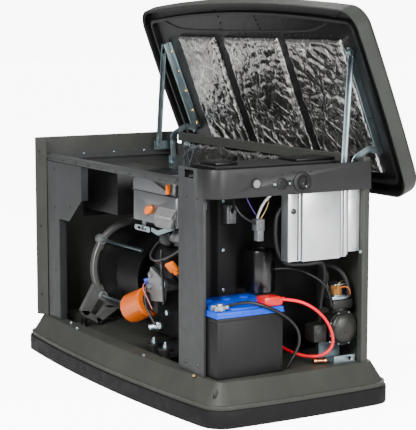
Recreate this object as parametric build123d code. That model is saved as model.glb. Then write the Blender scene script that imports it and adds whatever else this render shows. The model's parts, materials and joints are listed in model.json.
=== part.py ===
from build123d import *
import math
import os

# Home standby generator with its lid open and its two service doors off.
# Frame: X along the length (service end at +X), Y across the depth (door side at -Y),
# Z up, origin at the centre of the footprint on the ground. Millimetres.

os.makedirs("parts", exist_ok=True)

# ---------------------------------------------------------------- driving dimensions
BASE_L = 1200.0          # length of the skirt round the base
BASE_W = 624.0           # depth of the skirt
SKIRT_H = 48.0           # height of the black skirt
BASE_TOP = 114.0         # level that the panels stand on
WELL_FLOOR = 88.0        # sunk floor that the rubber mounts stand on
LIP_H = 12.0             # upright lip above the skirt
APRON_SLOPE = 32.0       # slope of the apron from upright, degrees
FRONT_BOW = 34.0         # how far the front of the skirt is set back at its ends
END_BOW = 10.0           # the same at the two short ends

SHEET = 2.0              # sheet thickness of panels and frame
END_X = 547.0            # outer face of the two short ends
FRONT_Y = -263.0         # door plane
RETURN_X = 46.0          # angled return at the front of the far end panel
RETURN_Y = 26.0
BACK_Y = 250.0           # outer face of the back panel
PANEL_TOP = 683.0        # top of the end and back panels
FRAME_Y = -237.0         # plane of the posts and rail behind the door
RAIL_TOP = 632.0         # top of the front rail

DIVIDER_X = 326.0        # wall between engine and service compartments

BAND_TOP = 673.0         # black band across the service end
BAND_BOTTOM = 597.0
BAND_X = 550.0
BAND_R = 46.0
BAND_T = 3.0
BAND_BACK_R = 9.0
LOCK_Y = -125.0          # panel lock
LOCK_Z = 632.0
LOCK_R = 10.5

LID_RIM = 688.0          # rim level of the closed lid
LID_TOP = 742.0          # top of the closed lid
LID_FRONT = -295.0
LID_REAR = 285.0
LID_HALF = 600.0
LID_OPEN_DEG = 68.5      # opening angle held by the stays
NOTCH_Z = 646.0          # foot of the notch that each hinge arm passes through
HINGE_Y = 226.0          # lid pivot, inside the back panel
HINGE_Z = 580.0
ARM_X = 502.0            # mid plane of each hinge arm
STAY_X = 516.0           # mid plane of each stay bar
STAY_Y = 178.0           # lower stud of each stay
STAY_Z = 640.0
STUD_Y = -142.0          # stud on each hinge arm, in the closed lid
STUD_Z = 696.0
PIN_R = 4.0
PLAY = 0.05              # radial running clearance

CRANK_Y = 15.0           # crankshaft axis, along X
CRANK_Z = 272.0
SHAFT_R = 17.0
BELL_X = -405.0          # outer face of the alternator end bell
BELL_R = 151.0
ROD_R = 146.0            # pitch radius of the alternator through rods
ADAPTER_X = -122.0       # engine adapter face

BAT_X = 524.0            # outer face of the battery
BAT_L = 208.0            # battery length, along Y
BAT_W = 173.0
BAT_Y = -228.0           # nearest side of the battery
CASE_H = 164.0

LID_WALL = 4.0
LINER_Z = 712.0          # underside of the lid liner's floor
LINER_T = 3.0
PAD_T = 13.0
ARM_T = 4.0              # thickness of the hinge arms
STAY_L = 328.0           # lower eye to the last slot centre
SLOT_0 = 306.5           # slot centres along the stay
SLOT_1 = 328.0
STAY_DEG = 86.292        # lean of each stay with the lid open, from +Y

BANK_DEG = 52.0          # lean of each cylinder from upright
DECK = 95.0              # crank axis to cylinder deck
BARREL = 80.0
HEAD = 34.0
FRONT_CYL_X = 150.0
REAR_CYL_X = 110.0
FILTER_0 = Vector(-20, -195, 212)
FILTER_DIR = Vector(0.90, 0.22, 0.376).normalized()
STICK_0 = Vector(226, -88, 246)
STICK_1 = Vector(226, -178, 352)
GOV_X = 65.0             # governor lever pivot
GOV_Z = 462.0
CAP_X = 105.0            # oil filler cap
CAP_Z = 519.0

BOX_BACK = 494.0         # back of the control box
CAN_X = 372.0            # silencer axis
CAN_Y = 2.0
CAN_R = 43.0

TERM_X = 500.0           # battery posts
NEG_Y = -205.0
POS_Y = -46.0
REG_Y = 188.0            # regulator dome
REG_Z = 209.0
CABLE_R = 4.5
NEG_ROUTE = [(500, -186, 305), (516, -140, 318), (535, -88, 304), (537, -28, 274), (536, 16, 236),
             (532, 30, 192), (520, 18, 152), (508, 2, 118)]
POS_ROUTE = [(500, -19, 308), (518, 22, 306), (534, 66, 286), (537, 110, 248), (537, 134, 204),
             (536, 136, 166), (520, 112, 140), (480, 84, 134), (430, 66, 140), (380, 60, 150),
             (DIVIDER_X + 3, 64, 164)]
HOSE_ROUTE = [(DIVIDER_X + 4, 150, 372), (430, 152, 382), (496, 212, 366), (498, 214, 294)]
BREATHER_ROUTE = [(405, 31, 372), (438, 63, 378), (480, 92, 366), (520, 120, 340), (524, 134, 300),
                  (518, 142, 276)]
LOOM_ROUTE = [(366.4, -179, 562), (388, -172, 585), (398, -140, 600), (396, -104, 588), (380, -82, 560),
              (352.4, -77, 530)]


# ---------------------------------------------------------------- helpers
def block(x0, x1, y0, y1, z0, z1):
    """Box from its low and high corners."""
    return Pos((x0 + x1) / 2, (y0 + y1) / 2, (z0 + z1) / 2) * Box(x1 - x0, y1 - y0, z1 - z0)


def rod(p0, p1, radius):
    """Round bar between two points."""
    start = Vector(*p0)
    span = Vector(*p1) - start
    plane = Plane(origin=start, z_dir=span.normalized())
    return extrude(plane * Circle(radius), span.length)


def tube(p0, p1, outer, inner):
    """Round tube between two points."""
    return rod(p0, p1, outer) - rod(p0, p1, inner)


def along_x(x0, x1, y, z, radius):
    """Round bar along X."""
    return rod((x0, y, z), (x1, y, z), radius)


def wall(points, thickness, z0, z1, radius=0.0):
    """Upright sheet that follows a plan line, thickened to the left of its direction."""
    line = FilletPolyline(*points, radius=radius) if radius else Polyline(*points)
    outline = offset(line, thickness, side=Side.LEFT, closed=True)
    return Pos(0, 0, z0) * extrude(make_face(outline), z1 - z0)


def rounded_bowed(half_x, y0, y1, bow_front, bow_end, corner):
    """Plan outline with bowed front and ends and rounded corners."""
    x_c = half_x - bow_end
    y_f = y0 + bow_front
    front = ThreePointArc((-x_c, y_f), (0, y0), (x_c, y_f))
    near = ThreePointArc((x_c, y_f), (half_x, (y_f + y1) / 2), (x_c, y1))
    back = Line((x_c, y1), (-x_c, y1))
    far = ThreePointArc((-x_c, y1), (-half_x, (y_f + y1) / 2), (-x_c, y_f))
    face = make_face(Wire([front, near, back, far]))
    return fillet(face.vertices(), corner)


def write(shape, node):
    """Write one node as a STEP file."""
    export_step(shape, "parts/" + node + ".step")


def group(shapes):
    """Separate solids kept together in one node."""
    solids = []
    for shape in shapes:
        solids.extend(shape.solids())
    return Compound(children=solids)


def opened(shape):
    """Turn a shape from the closed lid position to the open one."""
    axis = Axis((0, HINGE_Y, HINGE_Z), (1, 0, 0))
    return shape.rotate(axis, -LID_OPEN_DEG)


def cord_radii(points):
    """Bend radius at each inner point of a route: 0.45 of the shorter run over tan(half turn)."""
    radii = []
    for before, here, after in zip(points, points[1:], points[2:]):
        run_in = Vector(*here) - Vector(*before)
        run_out = Vector(*after) - Vector(*here)
        turn = math.radians(run_in.get_angle(run_out))
        radii.append(0.45 * min(run_in.length, run_out.length) / math.tan(turn / 2))
    return radii


def cord(name, points, radius):
    """Solid cable or hose along straight runs joined by tangent arcs."""
    radii = cord_radii(points)
    path = FilletPolyline(*points, radius=radii)
    start = Plane(origin=path @ 0, z_dir=path % 0)
    solid = sweep(start * Circle(radius), path=path)
    ratio = solid.volume / (math.pi * radius ** 2 * path.length)
    print(name, "length %.0f" % path.length, "volume ratio %.3f" % ratio,
          "least radius %.1f diameters" % (min(radii) / (2 * radius)),
          "radii", [round(r) for r in radii])
    return solid


# ---------------------------------------------------------------- base
def base_outline(inset):
    """Footprint drawn in by an inset."""
    half_w = BASE_W / 2 - inset
    return rounded_bowed(BASE_L / 2 - inset, -half_w, half_w, FRONT_BOW, END_BOW, 70.0 - inset)


def base_skirt():
    """Black skirt: a ring round the base."""
    return extrude(base_outline(0) - base_outline(16), SKIRT_H)


def base_pan():
    """Moulded base: sloping apron, flat deck and a sunk well for the engine."""
    foot = extrude(base_outline(16.2), SKIRT_H + 0.2)
    lip = Pos(0, 0, SKIRT_H + 0.2) * extrude(base_outline(5), LIP_H)
    apron_z = SKIRT_H + 0.2 + LIP_H
    apron = Pos(0, 0, apron_z) * extrude(base_outline(11), BASE_TOP - apron_z, taper=APRON_SLOPE)
    well = block(-474, 306, -214, 232, WELL_FLOOR, BASE_TOP + 1)
    pan = foot + lip + apron - well
    for x in (-548, 548):
        pan = pan - Pos(x, -248, 90) * Cylinder(7, 70)
    return pan


# ---------------------------------------------------------------- enclosure
def far_end_panel():
    """End panel with an angled return at its front edge."""
    points = [(-END_X, BACK_Y - SHEET - 0.3), (-END_X, FRONT_Y),
              (-END_X + RETURN_X, FRONT_Y + RETURN_Y)]
    return wall(points, SHEET, BASE_TOP, PANEL_TOP, radius=7)


def back_panel():
    """Back panel with its stiffening rail along the top edge and a return at the service end."""
    points = [(END_X - 22, BACK_Y - 24), (END_X - SHEET, BACK_Y - 24), (END_X - SHEET, BACK_Y),
              (-END_X + SHEET, BACK_Y)]
    sheet = wall(points, SHEET, BASE_TOP, PANEL_TOP, radius=6)
    for x in (-ARM_X, ARM_X):
        sheet = sheet - block(x - 14, x + 14, BACK_Y - 10, BACK_Y + 10, NOTCH_Z, PANEL_TOP + 1)
    rail = block(-476, 478, BACK_Y - 22, BACK_Y - SHEET, PANEL_TOP - 26, PANEL_TOP)
    rail = rail - block(-480, 482, BACK_Y - 20, BACK_Y - 3, PANEL_TOP - 30, PANEL_TOP - 3)
    return sheet + rail


def rear_foil_panel():
    """Foil-faced insulation board behind the engine."""
    return block(-470, 300, BACK_Y - 16, BACK_Y - SHEET - 0.2, 300, PANEL_TOP - 28)


def front_frame_plate():
    """Corner plate and narrow post at the far end of the door opening."""
    outline = Polyline((-490, BASE_TOP), (-408, BASE_TOP), (-408, 436), (-338, 436), (-252, 508),
                       (-252, 612), (-490, 612), close=True)
    face = Plane.XZ * make_face(outline)
    plate = Pos(0, FRAME_Y, 0) * extrude(face, SHEET)
    back_flange = block(-254, -252, FRAME_Y, FRAME_Y + 22, 508, 612)
    side_flange = block(-410, -408, FRAME_Y, FRAME_Y + 22, BASE_TOP, 436)
    return plate + back_flange + side_flange


def front_top_rail():
    """Two-step rail over the door opening."""
    rail = block(-490, 336, FRAME_Y - 6, FRAME_Y + 26, RAIL_TOP - 7, RAIL_TOP)
    rail = rail + block(-490, 336, FRAME_Y, FRAME_Y + 2, RAIL_TOP - 19, RAIL_TOP)
    return rail + block(-490, 336, FRAME_Y + 24, FRAME_Y + 26, RAIL_TOP - 16, RAIL_TOP)


def far_top_rail():
    """Flanged rail along the inside of the far end."""
    x0 = -END_X + SHEET + 0.2
    rail = block(x0, x0 + 2, FRAME_Y + 28, 226, 592, 634)
    rail = rail + block(x0, x0 + 17, FRAME_Y + 28, 226, 610, 612)
    return rail


def middle_post():
    """Wide post at the service end of the door opening, with a window at its head."""
    post = block(341, 473, FRAME_Y - SHEET, FRAME_Y, BASE_TOP, 668)
    post = post - block(372, 420, FRAME_Y - 10, FRAME_Y + 10, 640, 662)
    post = post + block(341, 343, FRAME_Y - SHEET, FRAME_Y + 30, BASE_TOP, 668)
    return post + block(471, 473, FRAME_Y - SHEET, FRAME_Y + 6, BASE_TOP, 668)


def divider_wall():
    """Divider that steps round the battery at its door side."""
    line = FilletPolyline((345, FRAME_Y + 31), (345, -140), (DIVIDER_X, -108), (DIVIDER_X, 226), radius=18)
    outline = offset(line, SHEET, side=Side.LEFT, closed=True)
    return Pos(0, 0, BASE_TOP) * extrude(make_face(outline), 636 - BASE_TOP)


def top_band():
    """Black band round the service end."""
    back = BACK_Y + BAND_T + 0.4
    corners = [(480, FRONT_Y), (BAND_X, FRONT_Y), (BAND_X, back), (520, back)]
    line = FilletPolyline(*corners, radius=[BAND_R, BAND_BACK_R])
    outline = offset(line, BAND_T, side=Side.LEFT, closed=True)
    band = Pos(0, 0, BAND_BOTTOM) * extrude(make_face(outline), BAND_TOP - BAND_BOTTOM)
    return band - along_x(BAND_X - 10, BAND_X + 10, LOCK_Y, LOCK_Z, LOCK_R + PLAY)


def top_tray():
    """Ribbed tray behind the band."""
    tray = block(346, 488, -226, 218, 656, 659)
    tray = tray + block(346, 349, -226, 218, 644, 656) + block(485, 488, -226, 218, 644, 656)
    for i in range(7):
        x = 362 + i * 18
        tray = tray + block(x, x + 6, -214, 206, 659, 667)
    return tray


def air_duct():
    """Dark duct box over the alternator with a sloping chute below it."""
    box = block(-400, -160, -163, 25, 470, 600)
    box = box - block(-396, -164, -159, 21, 466, 596)
    chute = block(-400, -396, -163, 25, 440, 470.5)
    return box + chute


def hinge_brackets():
    """Two brackets on the back panel with the lid pins, and two outer ones with the stay studs."""
    shapes = []
    for side in (-1, 1):
        plate = block(ARM_X + 4, ARM_X + 7, HINGE_Y - 14, BACK_Y - SHEET, HINGE_Z - 22, HINGE_Z + 26)
        pin = along_x(ARM_X - 3, ARM_X + 4.5, HINGE_Y, HINGE_Z, PIN_R)
        head = along_x(ARM_X - 5.5, ARM_X - 3, HINGE_Y, HINGE_Z, 7)
        lug = block(STAY_X + 4.3, STAY_X + 6.3, STAY_Y - 14, BACK_Y - SHEET, STAY_Z - 14, STAY_Z + 14)
        stud = along_x(STAY_X - 2.3, STAY_X + 4.5, STAY_Y, STAY_Z, PIN_R)
        cap = along_x(STAY_X - 4.5, STAY_X - 2.3, STAY_Y, STAY_Z, 7)
        for shape in (plate + pin + head, lug + stud + cap):
            shapes.append(shape if side > 0 else mirror(shape, Plane.YZ))
    return group(shapes)


def panel_screws():
    """Screws of the enclosure as separate solids."""
    screws = []
    outward = Vector(RETURN_Y, -RETURN_X, 0).normalized()
    for z in (180, 400, 640):
        middle = Vector(-END_X + RETURN_X / 2, FRONT_Y + RETURN_Y / 2, z)
        seat = middle + outward * 0.1
        screws.append(rod(tuple(seat), tuple(seat + outward * 2.5), 5))
    for x, z in ((-440, 270), (-440, 470), (-330, 480), (-440, 590)):
        screws.append(rod((x, FRAME_Y - SHEET, z), (x, FRAME_Y - SHEET - 2.5, z), 5))
    for z in (312, 424, 560):
        screws.append(along_x(DIVIDER_X, DIVIDER_X + 2.5, -88, z, 5))
    for x in (380, 440):
        for z in (140, 590):
            screws.append(rod((x, FRAME_Y - SHEET, z), (x, FRAME_Y - SHEET - 2.5, z), 5))
    return group(screws)


def rail_rivets():
    """Bright rivets along the far top rail and the front rail."""
    rivets = []
    for i in range(12):
        y = -195 + i * 37
        rivets.append(along_x(-END_X + SHEET + 2.2, -END_X + SHEET + 4.4, y, 624, 4))
    for i in range(10):
        x = -470 + i * 88
        rivets.append(rod((x, FRAME_Y, RAIL_TOP - 13), (x, FRAME_Y - 2.2, RAIL_TOP - 13), 3.5))
    return group(rivets)


# ---------------------------------------------------------------- lid, drawn closed
def lid_outline(inset):
    """Plan outline of the lid drawn in by an inset."""
    return rounded_bowed(LID_HALF - inset, LID_FRONT + inset, LID_REAR - inset, 30, 8, 66 - inset)


def lid_cap(inset, z0, z1, edge):
    """Lid block with its top edge rounded."""
    body = Pos(0, 0, z0) * extrude(lid_outline(inset), z1 - z0)
    return fillet(body.edges().group_by(Axis.Z)[-1], edge)


def lid_shell():
    """Outer moulding of the lid."""
    return lid_cap(0, LID_RIM, LID_TOP, 20) - lid_cap(LID_WALL, LID_RIM - 1, LID_TOP - LID_WALL, 16)


def ring(outer, inner, z0, z1):
    """Ring between two insets of the lid outline."""
    return Pos(0, 0, z0) * extrude(lid_outline(outer) - lid_outline(inner), z1 - z0)


def lid_liner():
    """Black inner moulding: floor, rim flange and a ridge round the pads."""
    floor = Pos(0, 0, LINER_Z) * extrude(lid_outline(LID_WALL + 0.3), LINER_T)
    ridge = ring(34, 44, LINER_Z - 16, LINER_Z)
    flange = ring(LID_WALL + 0.3, 10, LID_RIM + 2, LINER_Z)
    return floor + ridge + flange


def lid_pads():
    """Three foil-faced sound pads."""
    top = LINER_Z - 0.2
    base = LINER_Z - PAD_T
    far = block(-411, -191, -177, 225, base, top) + block(-195, -170, -177, -106, base, top)
    middle = block(-137, 160, -177, 225, base, top)
    near = block(204, 476, -177, 225, base, top)
    pads = []
    for pad in (far, middle, near):
        upright = pad.edges().filter_by(Axis.Z)
        pads.append(fillet(upright, 6))
    return group(pads)


def hinge_arm(side):
    """Gooseneck arm: pivot eye, neck, strip along the lid and the stud for the stay."""
    spine = [(HINGE_Y, HINGE_Z), (136, 612), (131, 672), (152, 700)]
    line = FilletPolyline(*spine, radius=[24, 20])
    face = trace(line, 18)
    neck = extrude(Plane.YZ * face, ARM_T / 2, both=True)
    eye = along_x(-ARM_T / 2, ARM_T / 2, HINGE_Y, HINGE_Z, 13)
    web = block(-ARM_T / 2, ARM_T / 2, -152, 162, 690, LINER_Z - 0.2)
    stud_end = STAY_X + 4.3 - ARM_X
    stud = along_x(0, stud_end, STUD_Y, STUD_Z, 3)
    head = along_x(stud_end - 2.3, stud_end, STUD_Y, STUD_Z, 7.5)
    strip = block(-18, ARM_T / 2, -152, 149, LINER_Z - 3.2, LINER_Z - 0.2)
    arm = neck + eye + web + strip + stud + head
    arm = arm - along_x(-10, 10, HINGE_Y, HINGE_Z, PIN_R + PLAY)
    arm = Pos(ARM_X, 0, 0) * arm
    return arm if side > 0 else mirror(arm, Plane.YZ)


def stay(side):
    """Slotted stay bar, drawn along +Y from its lower eye and set to the open lid."""
    outline = Pos(STAY_L / 2, 0) * SlotCenterToCenter(STAY_L, 19)
    slot = Pos((SLOT_0 + SLOT_1) / 2, 0) * SlotCenterToCenter(SLOT_1 - SLOT_0, 11)
    face = outline - slot - Circle(PIN_R + PLAY)
    bar = extrude(Plane.YZ * face, 1.5, both=True)
    bar = bar.rotate(Axis.X, STAY_DEG)
    bar = Pos(STAY_X, STAY_Y, STAY_Z) * bar
    return bar if side > 0 else mirror(bar, Plane.YZ)


# ---------------------------------------------------------------- engine and alternator
def bank(side):
    """Work plane on the deck of one cylinder: side -1 is the door side."""
    lean = math.radians(BANK_DEG)
    direction = (0, side * math.sin(lean), math.cos(lean))
    deck = Vector(0, CRANK_Y, CRANK_Z) + Vector(*direction) * DECK
    x = FRONT_CYL_X if side < 0 else REAR_CYL_X
    return Plane(origin=(x, deck.Y, deck.Z), x_dir=(1, 0, 0), z_dir=direction)


def crankcase():
    """Sump and crankcase with cylinder decks, cradle plate, adapter and dipstick tube."""
    lean = math.radians(BANK_DEG)
    out = Vector(math.sin(lean), math.cos(lean)) * (DECK - 0.3)
    along = Vector(math.cos(lean), -math.sin(lean)) * 58
    low, high = out + along, out - along
    half = [(105, 128 - CRANK_Z), (low.X, low.Y), (high.X, high.Y)]
    right_side = [(CRANK_Y + y, CRANK_Z + z) for y, z in half]
    left_side = [(CRANK_Y - y, CRANK_Z + z) for y, z in reversed(half)]
    section = make_face(Polyline(*right_side, *left_side, close=True))
    body = extrude(Plane.YZ.offset(-90) * section, 330)
    cradle = block(80, 220, -196, 226, 112, 128.2)
    neck = along_x(-104, -89, CRANK_Y, CRANK_Z, 96)
    adapter = along_x(ADAPTER_X, -104, CRANK_Y, CRANK_Z, BELL_R)
    adapter = rod(FILTER_0 + FILTER_DIR * 92, FILTER_0 + FILTER_DIR * 120, 28)
    boss = block(76, 124, -184, -92, 222, 274) + adapter
    pipe = rod(STICK_0, STICK_1, 7)
    case = body + cradle + neck + adapter + boss + pipe
    case = case - along_x(-200, 300, CRANK_Y, CRANK_Z, SHAFT_R + PLAY)
    case = case - along_x(46, 158, CRANK_Y, CRANK_Z, 62)
    return case - rod(STICK_0, STICK_1 + (STICK_1 - STICK_0) * 0.1, 3.2)


def cylinders():
    """Two finned barrels with their heads."""
    banks = []
    for side in (-1, 1):
        part = Cylinder(44, BARREL + 1, align=(Align.CENTER, Align.CENTER, Align.MIN))
        for i in range(7):
            fin = Pos(0, 0, 3 + i * 11) * Box(112, 112, 3, align=(Align.CENTER, Align.CENTER, Align.MIN))
            part = part + fillet(fin.edges().filter_by(Axis.Z), 14)
        head = Pos(0, 0, BARREL) * Box(104, 104, HEAD, align=(Align.CENTER, Align.CENTER, Align.MIN))
        part = part + fillet(head.edges().filter_by(Axis.Z), 10)
        banks.append(bank(side).location * part)
    return group(banks)


def rocker_covers():
    """Cover on each cylinder head with four screws' bosses."""
    covers = []
    for side in (-1, 1):
        cover = Box(90, 90, 20, align=(Align.CENTER, Align.CENTER, Align.MIN))
        cover = fillet(cover.edges().filter_by(Axis.Z), 14)
        cover = fillet(cover.edges().group_by(Axis.Z)[-1], 7)
        covers.append(bank(side).location * Pos(0, 0, BARREL + HEAD + 0.2) * cover)
    return group(covers)


def cooling_shroud():
    """Cooling air hood over both cylinders with the governor tab."""
    hood = block(-5, 250, -195, 215, 482, 567)
    hood = fillet(hood.edges().filter_by(Axis.Z), 12)
    hood = hood - block(-1, 246, -191, 211, 478, 563)
    tab = block(55, 75, -195, -191, 452, 484)
    stud = rod((GOV_X, -202.5, GOV_Z), (GOV_X, -193, GOV_Z), 3)
    head = rod((GOV_X, -204.5, GOV_Z), (GOV_X, -202.5, GOV_Z), 5.5)
    hole = rod((CAP_X, -200, CAP_Z), (CAP_X, -180, CAP_Z), 8 + PLAY)
    return hood + tab + stud + head - hole


def air_filter_housing():
    """Flat air filter housing on top of the hood."""
    box = block(0, 225, -187, -20, 567.3, 602)
    box = fillet(box.edges().filter_by(Axis.Z), 10)
    return fillet(box.edges().group_by(Axis.Z)[-1], 5)


def intake_bowl():
    """Black bowl-shaped cover in front of the door-side cylinder head."""
    profile = Polyline((48, 436), (48, 372), (74, 336), (100, 324), (158, 324), (182, 336), (202, 372),
                       (202, 436), close=True)
    bowl = extrude(Plane.XZ * make_face(profile), 14)
    bowl = fillet(bowl.edges().group_by(Axis.Y)[0], 5)
    bowl = Pos(0, -196.5, 0) * bowl
    stem = rod((90, -199, 430), (90, -186, 430), 7) + rod((90, -186.5, 426), (90, -186.5, 482), 6)
    return bowl + stem


def oil_filter():
    """Spin-on oil filter with a fluted nose."""
    body = rod(FILTER_0, FILTER_0 + FILTER_DIR * 92, 44)
    body = fillet(body.edges().filter_by(GeomType.CIRCLE), 6)
    return body


def starter_motor():
    """Starter motor beside the crankcase with its solenoid and nose."""
    motor = along_x(110, 236, 168, 198, 37)
    solenoid = along_x(130, 210, 190, 262, 22)
    strap = block(150, 170, 172, 190, 226, 244)
    nose = along_x(236, 252, 168, 198, 22)
    return motor + solenoid + strap + nose


def rubber_mounts():
    """Six rubber mounts under the cradle and the end bell."""
    mounts = []
    for x in (105, 193):
        for y in (-172, 202):
            mounts.append(rod((x, y, WELL_FLOOR), (x, y, 112), 17))
    for y in (CRANK_Y - 178, CRANK_Y + 178):
        mounts.append(rod((BELL_X + 11, y, WELL_FLOOR), (BELL_X + 11, y, 112), 11))
    return group(mounts)


def muffler():
    """Exhaust muffler behind the duct box."""
    can = along_x(-385, -162, 130, 520, 60)
    can = fillet(can.edges().filter_by(GeomType.CIRCLE), 10)
    outlet = along_x(-410, -384, 130, 520, 18)
    return can + outlet


def exhaust_pipe():
    """Pipe from the rear cylinder head to the muffler."""
    pipe_line = FilletPolyline((REAR_CYL_X - 52.5, 165, 405), (-50, 165, 405), (-110, 130, 520),
                               (-161.7, 130, 520), radius=[60, 40])
    start = Plane(origin=pipe_line @ 0, z_dir=pipe_line % 0)
    return sweep(start * Circle(16), path=pipe_line)


def alternator_can():
    """Dark stator can between the end bell and the engine adapter."""
    return tube((BELL_X + 22, CRANK_Y, CRANK_Z), (ADAPTER_X, CRANK_Y, CRANK_Z), 128, 122)


def rod_seats():
    """Angles of the four through rods round the crank axis."""
    return [math.radians(a) for a in (38.4, 141.6, 218.4, 321.6)]


def alternator_end_bell():
    """Cast end bell: ring, spokes, bearing hub, rod lugs and two feet."""
    disc = along_x(BELL_X, BELL_X + 22, CRANK_Y, CRANK_Z, BELL_R)
    for i in range(6):
        turn = math.radians(30 + i * 60)
        y = CRANK_Y + 82 * math.cos(turn)
        z = CRANK_Z + 82 * math.sin(turn)
        disc = disc - along_x(BELL_X - 1, BELL_X + 23, y, z, 32)
    disc = disc + along_x(BELL_X - 6, BELL_X + 22, CRANK_Y, CRANK_Z, 36)
    for a in rod_seats():
        lug_y = CRANK_Y + ROD_R * math.cos(a)
        lug_z = CRANK_Z + ROD_R * math.sin(a)
        disc = disc + along_x(BELL_X - 5, BELL_X + 22, lug_y, lug_z, 14)
    for side in (-1, 1):
        leg = Polyline((side * 60, -150), (side * 100, -100), (side * 150, -80), (side * 192, -138),
                       (side * 192, 112 - CRANK_Z), (side * 60, 112 - CRANK_Z), close=True)
        leg = extrude(Plane.YZ * make_face(leg), 22)
        window = block(-1, 23, min(side * 100, side * 160), max(side * 100, side * 160), -142, -112)
        disc = disc + Pos(BELL_X, CRANK_Y, CRANK_Z) * (leg - window)
    disc = disc - along_x(BELL_X - 10, BELL_X + 30, CRANK_Y, CRANK_Z, SHAFT_R + PLAY)
    for a in rod_seats():
        y = CRANK_Y + ROD_R * math.cos(a)
        z = CRANK_Z + ROD_R * math.sin(a)
        disc = disc - along_x(BELL_X - 10, BELL_X + 30, y, z, 5.3)
    return disc


def alternator_stator():
    """Laminated stator core inside the can."""
    core = tube((-345, CRANK_Y, CRANK_Z), (-185, CRANK_Y, CRANK_Z), 121.6, 92)
    return core


def through_rods():
    """Four long rods that clamp the alternator to the engine."""
    rods = []
    for a in rod_seats():
        y = CRANK_Y + ROD_R * math.cos(a)
        z = CRANK_Z + ROD_R * math.sin(a)
        bar = along_x(BELL_X - 5, ADAPTER_X - 0.3, y, z, 5)
        head = along_x(BELL_X - 12, BELL_X - 5.2, y, z, 8.5)
        rods.append(bar + head)
    return group(rods)


def crankshaft():
    """Crankshaft with one offset pin, running on through the alternator."""
    shaft = along_x(BELL_X - 8, 60.5, CRANK_Y, CRANK_Z, SHAFT_R)
    shaft = shaft + along_x(143.5, 302, CRANK_Y, CRANK_Z, SHAFT_R)
    webs = along_x(60, 76, CRANK_Y, CRANK_Z, 56) + along_x(128, 144, CRANK_Y, CRANK_Z, 56)
    pin = along_x(75, 129, CRANK_Y, CRANK_Z - 34, 18)
    return shaft + webs + pin


def flywheel_fan():
    """Flywheel with cooling fan blades."""
    wheel = along_x(256, 266, CRANK_Y, CRANK_Z, 88) + along_x(256, 292, CRANK_Y, CRANK_Z, 30)
    for i in range(12):
        blade = block(265.5, 290, CRANK_Y - 2, CRANK_Y + 2, CRANK_Z + 34, CRANK_Z + 86)
        wheel = wheel + blade.rotate(Axis((0, CRANK_Y, CRANK_Z), (1, 0, 0)), i * 30)
    return wheel - along_x(250, 300, CRANK_Y, CRANK_Z, SHAFT_R + PLAY)


def alternator_rotor():
    """Two-pole alternator rotor."""
    body = along_x(-345, -185, CRANK_Y, CRANK_Z, 88)
    for side in (-1, 1):
        z0 = CRANK_Z + side * 60
        body = body - block(-346, -184, CRANK_Y - 60, CRANK_Y - 44, min(z0, CRANK_Z), max(z0, CRANK_Z))
        body = body - block(-346, -184, CRANK_Y + 44, CRANK_Y + 60, min(z0, CRANK_Z), max(z0, CRANK_Z))
    return body - along_x(-360, -170, CRANK_Y, CRANK_Z, SHAFT_R + PLAY)


def oil_filler_cap():
    """Orange oil filler cap with finger grips."""
    cap = rod((CAP_X, -209, CAP_Z), (CAP_X, -195.4, CAP_Z), 15)
    grip = block(CAP_X - 13, CAP_X + 13, -216, -208.5, CAP_Z - 4, CAP_Z + 4)
    stem = rod((CAP_X, -195.5, CAP_Z), (CAP_X, -178, CAP_Z), 8)
    return cap + grip + stem


def oil_dipstick():
    """Dipstick with an orange pull."""
    way = (STICK_1 - STICK_0).normalized()
    blade = rod(STICK_1 - way * 110, STICK_1 + way * 1, 2.8)
    collar = rod(STICK_1 + way * 0.4, STICK_1 + way * 10, 8)
    grip = Plane(origin=STICK_1 + way * 22, x_dir=way, z_dir=(1, 0, 0)).location * Torus(11, 3.6)
    return blade + collar + grip


def governor_lever():
    """Slotted zinc governor lever."""
    face = SlotCenterToCenter(76, 16) - Pos(-14, 0) * SlotCenterToCenter(24, 6) - Pos(20, 0) * Circle(3)
    plate = extrude(Plane.XZ * face, 2)
    plate = Pos(GOV_X, -199, GOV_Z) * plate
    return plate - rod((GOV_X, -210, GOV_Z), (GOV_X, -190, GOV_Z), 3 + PLAY)


# ---------------------------------------------------------------- service compartment
def battery_case():
    """Battery case with a foot ledge."""
    case = block(BAT_X - BAT_W, BAT_X, BAT_Y, BAT_Y + BAT_L, BASE_TOP, BASE_TOP + CASE_H)
    case = fillet(case.edges().filter_by(Axis.Z), 6)
    return case


def battery_lid():
    """Blue battery lid with a raised middle."""
    z0 = BASE_TOP + CASE_H + 0.2
    lid = block(BAT_X - BAT_W - 1, BAT_X + 1, BAT_Y - 1, BAT_Y + BAT_L + 1, z0, z0 + 17)
    lid = fillet(lid.edges().filter_by(Axis.Z), 7)
    top = block(BAT_X - BAT_W + 8, BAT_X - 50, BAT_Y + 8, BAT_Y + BAT_L - 8, z0 + 16.5, z0 + 27)
    top = fillet(top.edges().filter_by(Axis.Z), 8)
    return lid + top


def battery_terminals():
    """Two posts with their cable clamps."""
    z0 = BASE_TOP + CASE_H + 17.4
    shapes = []
    for y in (NEG_Y, POS_Y):
        post = rod((TERM_X, y, z0), (TERM_X, y, z0 + 19), 9)
        clamp = block(TERM_X - 15, TERM_X + 15, y - 15, y + 15, z0 + 2, z0 + 14)
        shapes.append(post + fillet(clamp.edges().filter_by(Axis.Z), 6))
    return group(shapes)


def positive_cover():
    """Red cover over the positive terminal."""
    z0 = BASE_TOP + CASE_H + 17.5
    cover = block(TERM_X - 21, TERM_X + 21, POS_Y - 32, POS_Y + 22, z0, z0 + 26)
    cover = fillet(cover.edges().filter_by(Axis.Z), 6)
    cover = fillet(cover.edges().group_by(Axis.Z)[-1], 5)
    return cover - block(TERM_X - 18, TERM_X + 18, POS_Y - 29, POS_Y + 19, z0 - 1, z0 + 22)


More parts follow.
